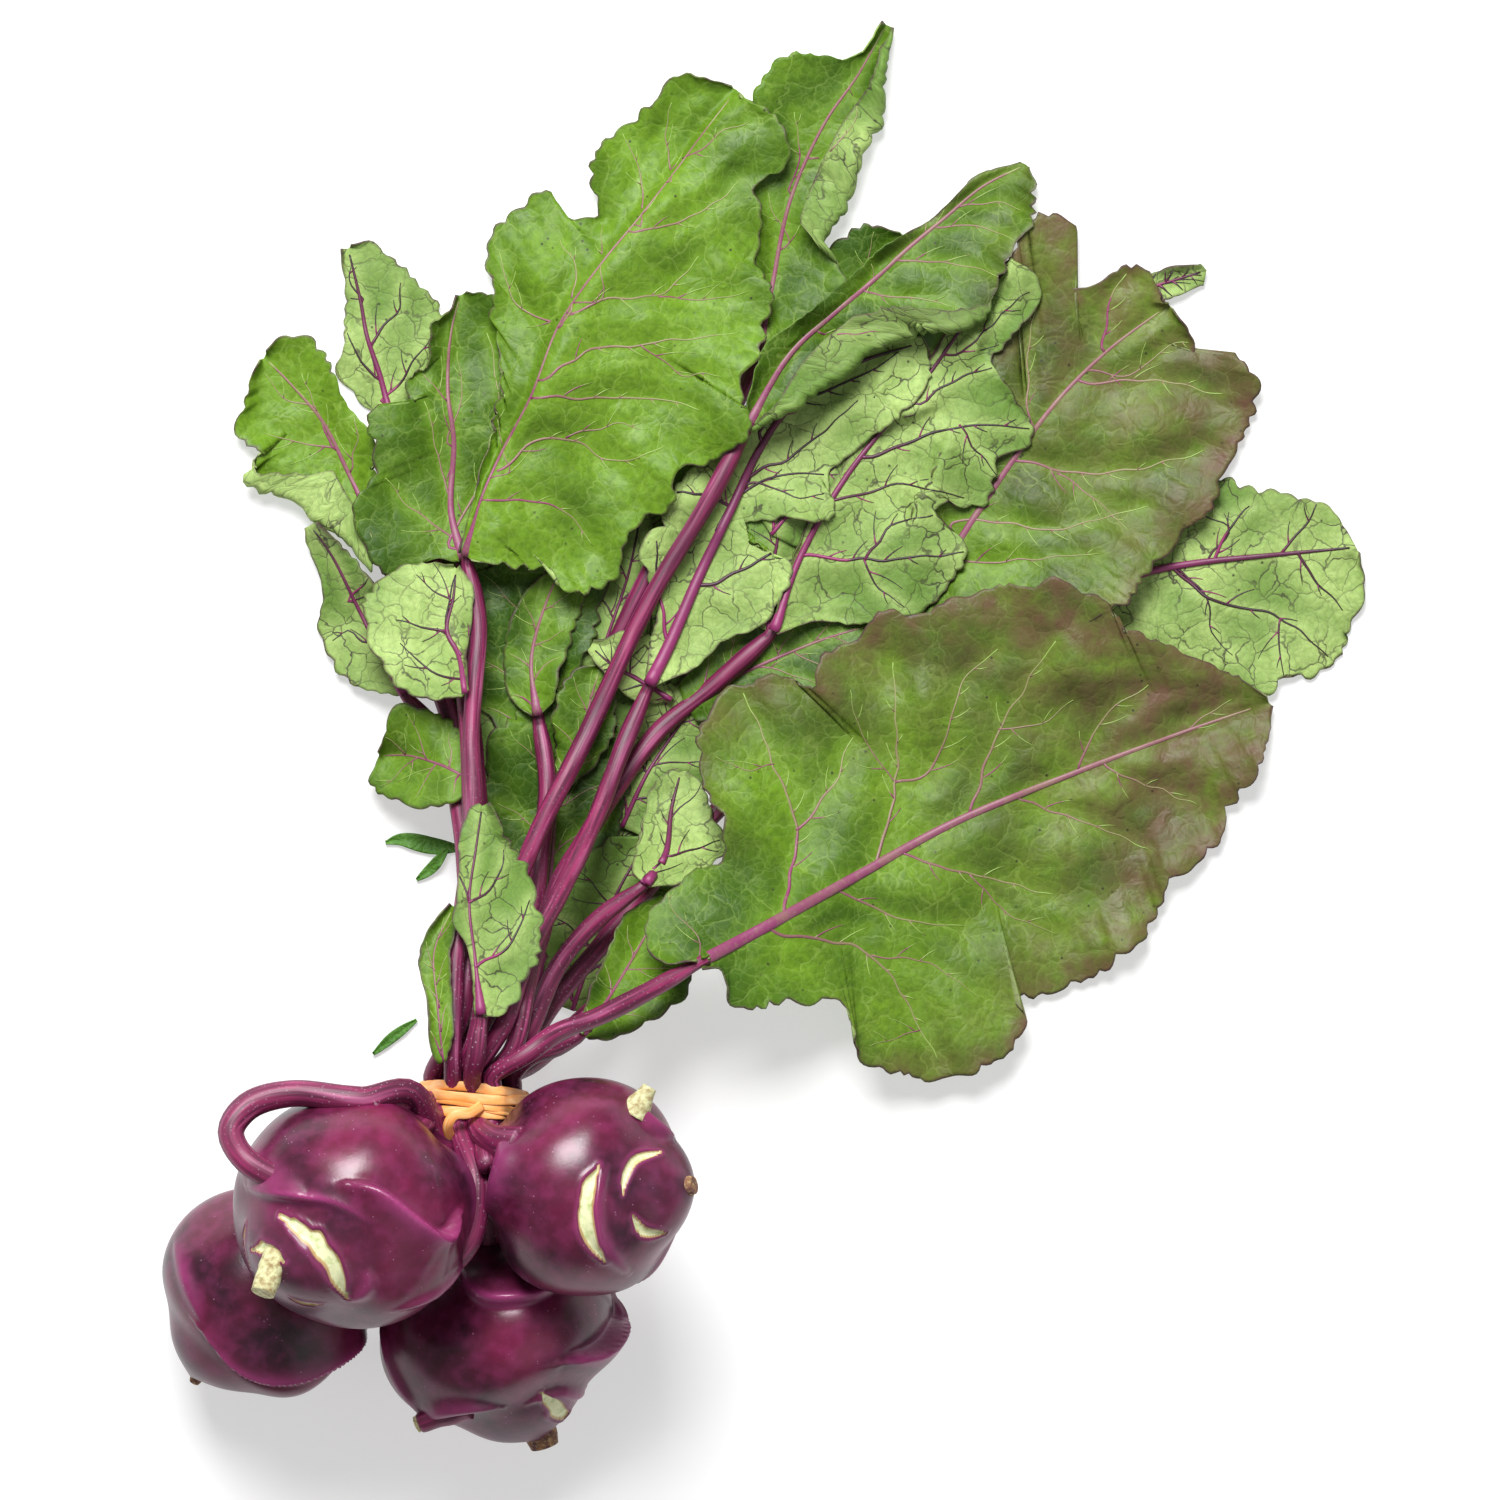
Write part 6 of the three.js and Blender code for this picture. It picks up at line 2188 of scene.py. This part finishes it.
    def distance_to_veins(self, flat: Array) -> Array:
        """Distance to the nearest of the midrib and the larger side veins.

        Args:
            flat: places of the plan as flat[row, column].

        Returns:
            The distances as distances[row, column].
        """
        near = np.full(flat[..., 0].size, np.inf)
        for path in [self.mid[::4], *(way for way, size, _ in self.vein_paths() if size > 0.42)]:
            near = np.minimum(near, distance_to(flat.reshape(-1, 2), path)[0])
        return near.reshape(flat.shape[:2])

    def relief(self, flat: Array, across: Array, width: Array, near: Array) -> Array:
        """Relief of the blade over its lie.

        Args:
            flat: places of the plan as flat[row, column].
            across: share of the way to the margin for each column, negative to the left.
            width: width of that half of the leaf.
            near: distance to the nearest vein.

        Returns:
            The relief as relief[row, column].
        """
        x, y = flat[..., 0], flat[..., 1]
        run = self.share[:, None] * arc(self.mid)[-1]
        # The blade bulges between its veins, up on the upper side and down on the underside.
        quilt = self.QUILT * (1 - np.exp(-((near / self.QUILT_REACH) ** 2)))
        quilt = quilt - self.GROOVE * np.exp(-((near / self.GROOVE_REACH) ** 2))
        flip = 1 if self.spec.up is Side.UPPER else -0.8
        relief = flip * quilt + self.SWELL * waves(x, y, 30, self.seed + 4)
        relief = relief + self.DIMPLE * waves(x, y, 9, self.seed + 5)
        # The two margins ripple apart from each other.
        ripple = waves(run, 50 * np.sign(across) + 8 * across, 23, self.seed + 6)
        relief = relief + np.abs(across) ** 2.5 * (self.RIPPLE * ripple + self.MARGIN_LIFT)
        beside = across * width
        crest = smoothstep(-2.5, 1.0, beside) * np.exp(-np.maximum(beside, 0) / 20)
        return relief + self.spec.fold * crest * np.sin(np.pi * self.share[:, None] ** 0.8) ** 0.6

    def laid(self, flat: Array, relief: Array, pile: Pile, ceiling: Ceiling) -> Array:
        """Lays the blade between what is under it and what is over it.

        Args:
            flat: places of the plan as flat[row, column].
            relief: relief over the blade's lie.
            pile: what lies under it.
            ceiling: what will lie over it.

        Returns:
            The points as points[row, column].
        """
        x, y = flat[..., 0], flat[..., 1]
        low = smoothed(pile.support(x, y), 3) + self.THICKNESS + self.CLEARANCE
        low = np.maximum(low, self.THICKNESS + 0.05)
        high = ceiling.limit(x, y) - self.CLEARANCE
        z = self.lie(flat) + 1.0 + relief
        for _ in range(4):
            z = smoothed(np.clip(z, low, np.maximum(high, low)), 2)
        z = np.minimum(np.maximum(z, low), np.maximum(high, low - 0.4))
        return np.dstack([x, y, z])

    def add_roll(
        self, rolled: int, points: Array, places: Array, edge: Array,
        radius: Array, flap: Array,
    ) -> tuple[Array, Array, Array]:
        """Adds the columns of a rolled margin, up and over the blade.

        Args:
            rolled: 0 for the left margin, 1 for the right.
            points: points of the flat sheet.
            places: their flattened places.
            edge: their distance from the margin.
            radius: the roll's radius along the leaf.
            flap: the width turned over along the leaf.

        Returns:
            The three arrays with the roll's columns.
        """
        if rolled == 0:
            points, places, edge = points[:, ::-1], places[:, ::-1], edge[:, ::-1]
        rim = points[:, -1]
        out = points[:, -1, :2] - self.mid
        width = np.linalg.norm(out, axis=1) + 1e-6
        out /= width[:, None]
        turned = math.pi * radius + flap
        blade = points[:, self.half :]
        new_points, new_places, new_edges = [], [], []
        for share in np.linspace(0, 1, self.ROLL_STEPS + 1)[1:]:
            s = share * turned
            angle = np.clip(s / np.maximum(radius, 1e-6), 0, math.pi)
            past = np.maximum(s - math.pi * radius, 0)
            outward = radius * np.sin(angle) - past
            lift = radius * (1 - np.cos(angle))
            column = np.clip((width + np.minimum(outward, 0)) / width, 0, 1) * (blade.shape[1] - 1)
            k = np.minimum(column.astype(int), blade.shape[1] - 2)
            rows = np.arange(len(blade))
            under = blade[rows, k, 2] + (column - k) * (blade[rows, k + 1, 2] - blade[rows, k, 2])
            wave = 0.5 * waves(s, self.share * 190, 17, self.seed + 9) * smoothstep(0, 6, past)
            base = np.where(past > 0, np.maximum(under, rim[:, 2] - 0.3), rim[:, 2])
            z = base + lift + np.abs(wave) + 0.35 * np.minimum(radius, 1)
            new_points.append(np.column_stack([rim[:, :2] + out * outward[:, None], z]))
            new_places.append(rim[:, :2] + out * s[:, None])
            new_edges.append(turned - s)
        points = np.concatenate([points, np.stack(new_points, axis=1)], axis=1)
        places = np.concatenate([places, np.stack(new_places, axis=1)], axis=1)
        edge = np.concatenate([edge + turned[:, None], np.stack(new_edges, axis=1)], axis=1)
        if rolled == 0:
            points, places, edge = points[:, ::-1], places[:, ::-1], edge[:, ::-1]
        return points, places, edge

    def build(self, pile: Pile, ceiling: Ceiling) -> None:
        """Makes the blade and its veins.

        Args:
            pile: what is laid so far.
            ceiling: what will lie over the blade.
        """
        points, places, facts = self.sheet(pile, ceiling)
        upper, under = Finish.UPPER, Finish.UNDER
        top, bottom = (upper, under) if self.spec.up is Side.UPPER else (under, upper)
        finishes = [top.material, bottom.material]
        piece = thin_sheet("leaf_" + self.spec.name, points, places, facts, finishes, self.THICKNESS)
        belongs(piece, top.slot, *(["blade_" + self.spec.name] if self.in_cad else []))
        self.add_veins(piece)
        pile.lay(points)

    def rib_width(self, rib: Array) -> Array:
        """Half width of the midrib, which meets its stalk and thins toward the tip.

        Args:
            rib: the midrib's way.

        Returns:
            The half width at each point.
        """
        least = 0.28
        run = arc(rib)
        size = least + (self.spec.rib / 2 - least) * (1 - run / max(run[-1], 1e-9)) ** 0.8
        if self.spec.route is not None:
            size = size + (1 - smoothstep(0, 14, run)) * max(2.0 - self.spec.rib / 2, 0) * 0.8
        return size

    def add_veins(self, piece: bpy.types.Object) -> None:
        """Lays the midrib and the side veins on the finished sheet.

        Args:
            piece: the sheet.
        """
        corners = [v.co.copy() for v in piece.data.vertices]
        tree = BVHTree.FromPolygons(corners, [tuple(p.vertices) for p in piece.data.polygons])
        is_upper = self.spec.up is Side.UPPER
        # Veins stand low on the upper side and high on the underside.
        stand, flatness, slimness = (0.42, 0.55, 0.72) if is_upper else (0.7, 0.8, 0.85)
        shape = bmesh.new()
        uv = shape.loops.layers.uv.new("UVMap")
        fade = shape.verts.layers.float.new("fade")
        rib = evenly(self.mid, 2.0)[: -max(1, len(self.mid) // 60)]
        veins = [(rib, self.rib_width(rib), 0.0, 0.2 if is_upper else 0.9)]
        for path, half, first in self.vein_paths():
            sizes = half * (1 - 0.66 * np.linspace(0, 1, len(path))) * slimness
            veins.append((path, sizes, first if is_upper else max(first, 0.7), 0.6))
        for path, half, first, gain in veins:
            for part in self.settled(path, tree):
                rows = part[:, 3].astype(int)
                widths = half[rows]
                before = len(shape.verts)
                centre = part[:, :3] + np.column_stack([np.zeros((len(part), 2)), (stand - 0.55) * widths])
                sides = 12 if len(part) > 20 and widths.max() > 1 else 6
                Tube(centre, widths, np.maximum(widths * flatness, 0.2), sides).add_to(shape, uv)
                shape.verts.ensure_lookup_table()
                for vert in shape.verts[before:]:
                    spot = np.array(vert.co) / MM
                    spot[:2] -= PLAN.shift
                    nearest = int(np.argmin(np.sum((part[:, :3] - spot) ** 2, axis=1)))
                    vert[fade] = min(first + gain * rows[nearest] / max(len(path) - 1, 1), 1.0)
        finish = Finish.PURPLE_VEIN if is_upper else Finish.DARK_VEIN
        belongs(as_object(shape, "veins_" + self.spec.name, [finish.material]), finish.slot)

    def settled(self, path: Array, tree: BVHTree) -> list[Array]:
        """Lays a path on the sheet, in as many stretches as its folds make.

        Args:
            path: the path on the plan.
            tree: the sheet's faces.

        Returns:
            The stretches, with x, y, z and the place in the path in each row.
        """
        parts, current = [], []
        for k, (x, y) in enumerate(path):
            spot = PLAN.to_frame(np.array([x, y, 0.0]))
            hit = tree.ray_cast(Vector((spot[0], spot[1], 0.5)), Vector((0, 0, -1)))
            if hit[0] is None or (hit[1].z < 0) != (bool(current) and current[0][4]) and current:
                parts.append(current)
                current = []
                continue
            z = hit[0].z / MM + (self.THICKNESS if hit[1].z < 0 else 0)
            if current and abs(z - current[-1][2]) > 2.5:
                parts.append(current)
                current = []
            current.append((x, y, z, k, float(hit[1].z < 0)))
        parts.append(current)
        return [np.array(part)[:, :4] for part in parts if len(part) > 2]


class Weed:
    """A narrow stray leaf of another plant."""

    def __init__(self, name: str, midrib: Points, half: float) -> None:
        """Takes its CAD node, the line of its midrib and its half width."""
        self.name, self.midrib, self.half = name, midrib, half

    def build(self, pile: Pile) -> None:
        """Makes the leaf.

        Args:
            pile: what is laid so far.
        """
        mid = evenly(spline(self.midrib), 0.8)
        share = np.linspace(0, 1, len(mid))
        step = np.gradient(mid, axis=0)
        normal = np.column_stack([-step[:, 1], step[:, 0]]) / np.linalg.norm(step, axis=1)[:, None]
        width = self.half * np.maximum(0.12, np.sin(np.pi * np.clip(share, 0.02, 0.97)) ** 0.7)
        t = np.linspace(-1, 1, 9)
        flat = mid[:, None] + normal[:, None] * (width[:, None] * t)[..., None]
        node = NodeShape(self.name)
        heights = [node.height(x, y, True) for x, y in mid]
        known = [k for k, z in enumerate(heights) if z is not None]
        base = np.interp(np.arange(len(mid)), known, [heights[k] for k in known])
        z = base[:, None] - 0.35 + 0.5 * np.abs(t)[None] + 0.15 * waves(flat[..., 0], flat[..., 1], 8, 3)
        points = np.dstack([flat, np.maximum(z, 0.65)])
        facts = {"tone": 0.0, "blush": 0.0, "halo": 0.0, "edge": 1.0}
        piece = thin_sheet("leaf_" + self.name, points, flat, facts, [Finish.WEED.material], 0.4)
        belongs(piece, Finish.WEED.slot, self.name)
        pile.lay(points)


# ---- rubber band ------------------------------------------------------------------------------


@dataclass
class Band:
    """A rubber band wound several times round the stalks.

    Fields:
        slots: (column, row) of every stalk in the band.
        turns: (offset along the stalks, tilt, extra clearance) of each turn, in millimetres.
        half_width: half the band's width.
        half_thickness: half its thickness.
        stalk_radius: radius of the stalks in it.
        slant: how far the turns lean along the stalks.
        hook: way of the end that is hooked over a stalk base.
    """

    GIRTH: ClassVar[float] = 6.0

    slots: tuple[tuple[int, int], ...]
    turns: tuple[tuple[float, float, float], ...] = (
        (-3.4, 1.2, 0.0), (-1.7, -1.6, 0.35), (0.3, 1.8, 0.1), (2.0, -1.2, 0.7), (3.4, 1.5, 0.2),
    )
    half_width: float = 1.7
    half_thickness: float = 0.42
    stalk_radius: float = 3.05
    slant: float = 2.2
    hook: Points = (
        (-90, -116, 76), (-94, -118.5, 80), (-98.5, -119, 81), (-100.5, -122, 80), (-100, -126, 76),
        (-98, -129, 71),
    )

    def outline(self, clearance: float) -> Array:
        """Draws the loop round the stalks, straight between them.

        Args:
            clearance: distance from the stalks.

        Returns:
            The loop's x and z, from the middle of the stalks.
        """
        centres = STALK_PITCH * (np.array(self.slots, float) - np.array([2, 1.5]))
        angle = np.linspace(0, math.tau, 145)[:-1]
        normal = np.column_stack([np.cos(angle), np.sin(angle)])
        reach = (normal @ centres.T).max(axis=1) + self.stalk_radius + clearance
        slope = np.gradient(np.concatenate([reach[-1:], reach, reach[:1]]), angle[1])[1:-1]
        along = np.column_stack([-normal[:, 1], normal[:, 0]])
        return reach[:, None] * normal + slope[:, None] * along

    def build(self) -> None:
        """Makes the turns as one piece."""
        shape = bmesh.new()
        uv = shape.loops.layers.uv.new("UVMap")
        for number, (offset, tilt, clearance) in enumerate(self.turns):
            loop = self.outline(1.0 + clearance)
            angle = np.arctan2(loop[:, 1], loop[:, 0])
            y = Plan.TIE[1] + offset - self.slant * np.cos(angle) + tilt * np.cos(angle + 1.3 * number)
            path = np.column_stack([Plan.TIE[0] + loop[:, 0], y, TIE_HEIGHT + loop[:, 1]])
            self.add_turn(shape, uv, evenly(np.vstack([path, path[:1]]), 0.9))
        hook = evenly(spline(self.hook), 0.8)
        width = np.full(len(hook), self.half_width)
        Tube(hook, width, width * 0.35, 14).add_to(shape, uv)
        piece = as_object(shape, "band_turns", [Finish.RUBBER.material])
        belongs(piece, Finish.RUBBER.slot, "rubber_band")

    def add_turn(self, shape: Shape, uv: Layer, path: Array) -> None:
        """Adds one closed turn with a flat, round-edged section.

        Args:
            shape: what the turn is added to.
            uv: UV layer that takes millimetres round and along.
            path: the turn's centre line, which ends where it starts.
        """
        away = path - np.array([*Plan.TIE, TIE_HEIGHT])
        away[:, 1] = 0
        away /= np.linalg.norm(away, axis=1)[:, None]
        angle = np.linspace(0, math.tau, 15)
        across = np.sign(np.cos(angle)) * np.abs(np.cos(angle)) ** 0.6 * self.half_width
        out = np.sign(np.sin(angle)) * np.abs(np.sin(angle)) ** 0.6 * self.half_thickness
        run = arc(path)
        twist = 0.25 * waves(run, np.full(len(run), run[-1]), 18, len(path))
        side = np.cos(twist)[:, None] * np.array([0.0, 1.0, 0.0]) + np.sin(twist)[:, None] * away
        over = np.cross(side, np.gradient(path, axis=0))
        over /= np.linalg.norm(over, axis=1)[:, None]
        points = path[:, None] + across[None, :, None] * side[:, None] + out[None, :, None] * over[:, None]
        points[-1] = points[0]
        _, faces = add_rolled(shape, points, uv, self.GIRTH, run)
        bmesh.ops.recalc_face_normals(shape, faces=faces)


# ---- table, lights and camera -----------------------------------------------------------------


@dataclass
class Studio:
    """White board, soft lights from above and beyond the leaf tips, and a camera looking down.

    Fields:
        view_centre: place of the plan in the middle of the view.
        view_width: millimetres across the view.
        distance: metres from the table to the camera.
        sensor: width of the camera's sensor in millimetres.
    """

    view_centre: tuple[float, float] = (-4.8, -3.2)
    view_width: float = 480.0
    distance: float = 6.0
    sensor: float = 36.0

    def build(self) -> None:
        """Makes the stage."""
        board = bmesh.new()
        bmesh.ops.create_grid(board, x_segments=4, y_segments=4, size=6.0)
        floor = as_object(board, "white_board", [Tabletop().build()])
        floor.location.z = -0.0002
        self.add_light("key", (-0.35, 1.6, 2.1), 1.25, 124)
        self.add_light("fill", (1.2, -1.4, 2.0), 2.2, 8)
        world = bpy.data.worlds.new("studio")
        world.use_nodes = True
        world.node_tree.nodes["Background"].inputs[0].default_value = (1, 1, 1, 1)
        world.node_tree.nodes["Background"].inputs[1].default_value = 0.25
        bpy.context.scene.world = world
        bpy.context.scene.view_settings.view_transform = "Standard"
        self.add_camera()

    def add_light(self, name: str, place: tuple[float, float, float], size: float, power: float) -> None:
        """Adds a square soft light that faces the middle of the bunch.

        Args:
            name: the light's name.
            place: where it hangs, in metres.
            size: its side in metres.
            power: its power in watts.
        """
        data = bpy.data.lights.new(name, "AREA")
        data.size, data.energy = size, power
        lamp = bpy.data.objects.new(name, data)
        lamp.location = place
        lamp.rotation_euler = (-Vector(place)).to_track_quat("-Z", "Y").to_euler()
        bpy.context.scene.collection.objects.link(lamp)

    def add_camera(self) -> None:
        """Adds the camera, straight above with +Y up in the view."""
        data = bpy.data.cameras.new("camera")
        data.sensor_width = self.sensor
        data.lens = self.sensor * (self.distance - 0.03) / (self.view_width * MM)
        data.clip_start, data.clip_end = 0.1, 50
        camera = bpy.data.objects.new("camera", data)
        spot = PLAN.to_frame(np.array([*self.view_centre, 0.0]))
        camera.location = (spot[0], spot[1], self.distance)
        bpy.context.scene.collection.objects.link(camera)
        bpy.context.scene.camera = camera


def main() -> None:
    """Builds the bunch from the table up."""
    logging.basicConfig(level=logging.INFO, format="%(name)s %(message)s")
    pile = Pile()
    for seed, bulb in enumerate(BULBS):
        Bulb(bulb, 10 * seed + 3).build(pile)
    for weed in WEEDS:
        Weed(*weed).build(pile)
    for number, path in enumerate(NECKS):
        Neck(path, number).build(pile)
    for k, spec in enumerate(FILLERS):
        Leaf(spec, 100 * k + 5011, in_cad=False).build(pile, Ceiling())
    stalks = {s.name: Stalk(s, 7 * k + 1) for k, s in enumerate(LEAVES) if s.route is not None}
    for k, spec in enumerate(LEAVES):
        if spec.name in stalks:
            stalks[spec.name].build(pile)
        ceiling = Ceiling()
        for later in LEAVES[k + 1 :]:
            if later.name in stalks:
                ceiling.hang(stalks[later.name].path, 2.6)
        Leaf(spec, 100 * k + 11).build(pile, ceiling)
    Band(tuple(spec.route.slot for spec in LEAVES if spec.route is not None)).build()
    Studio().build()


if __name__ == "__main__":
    main()
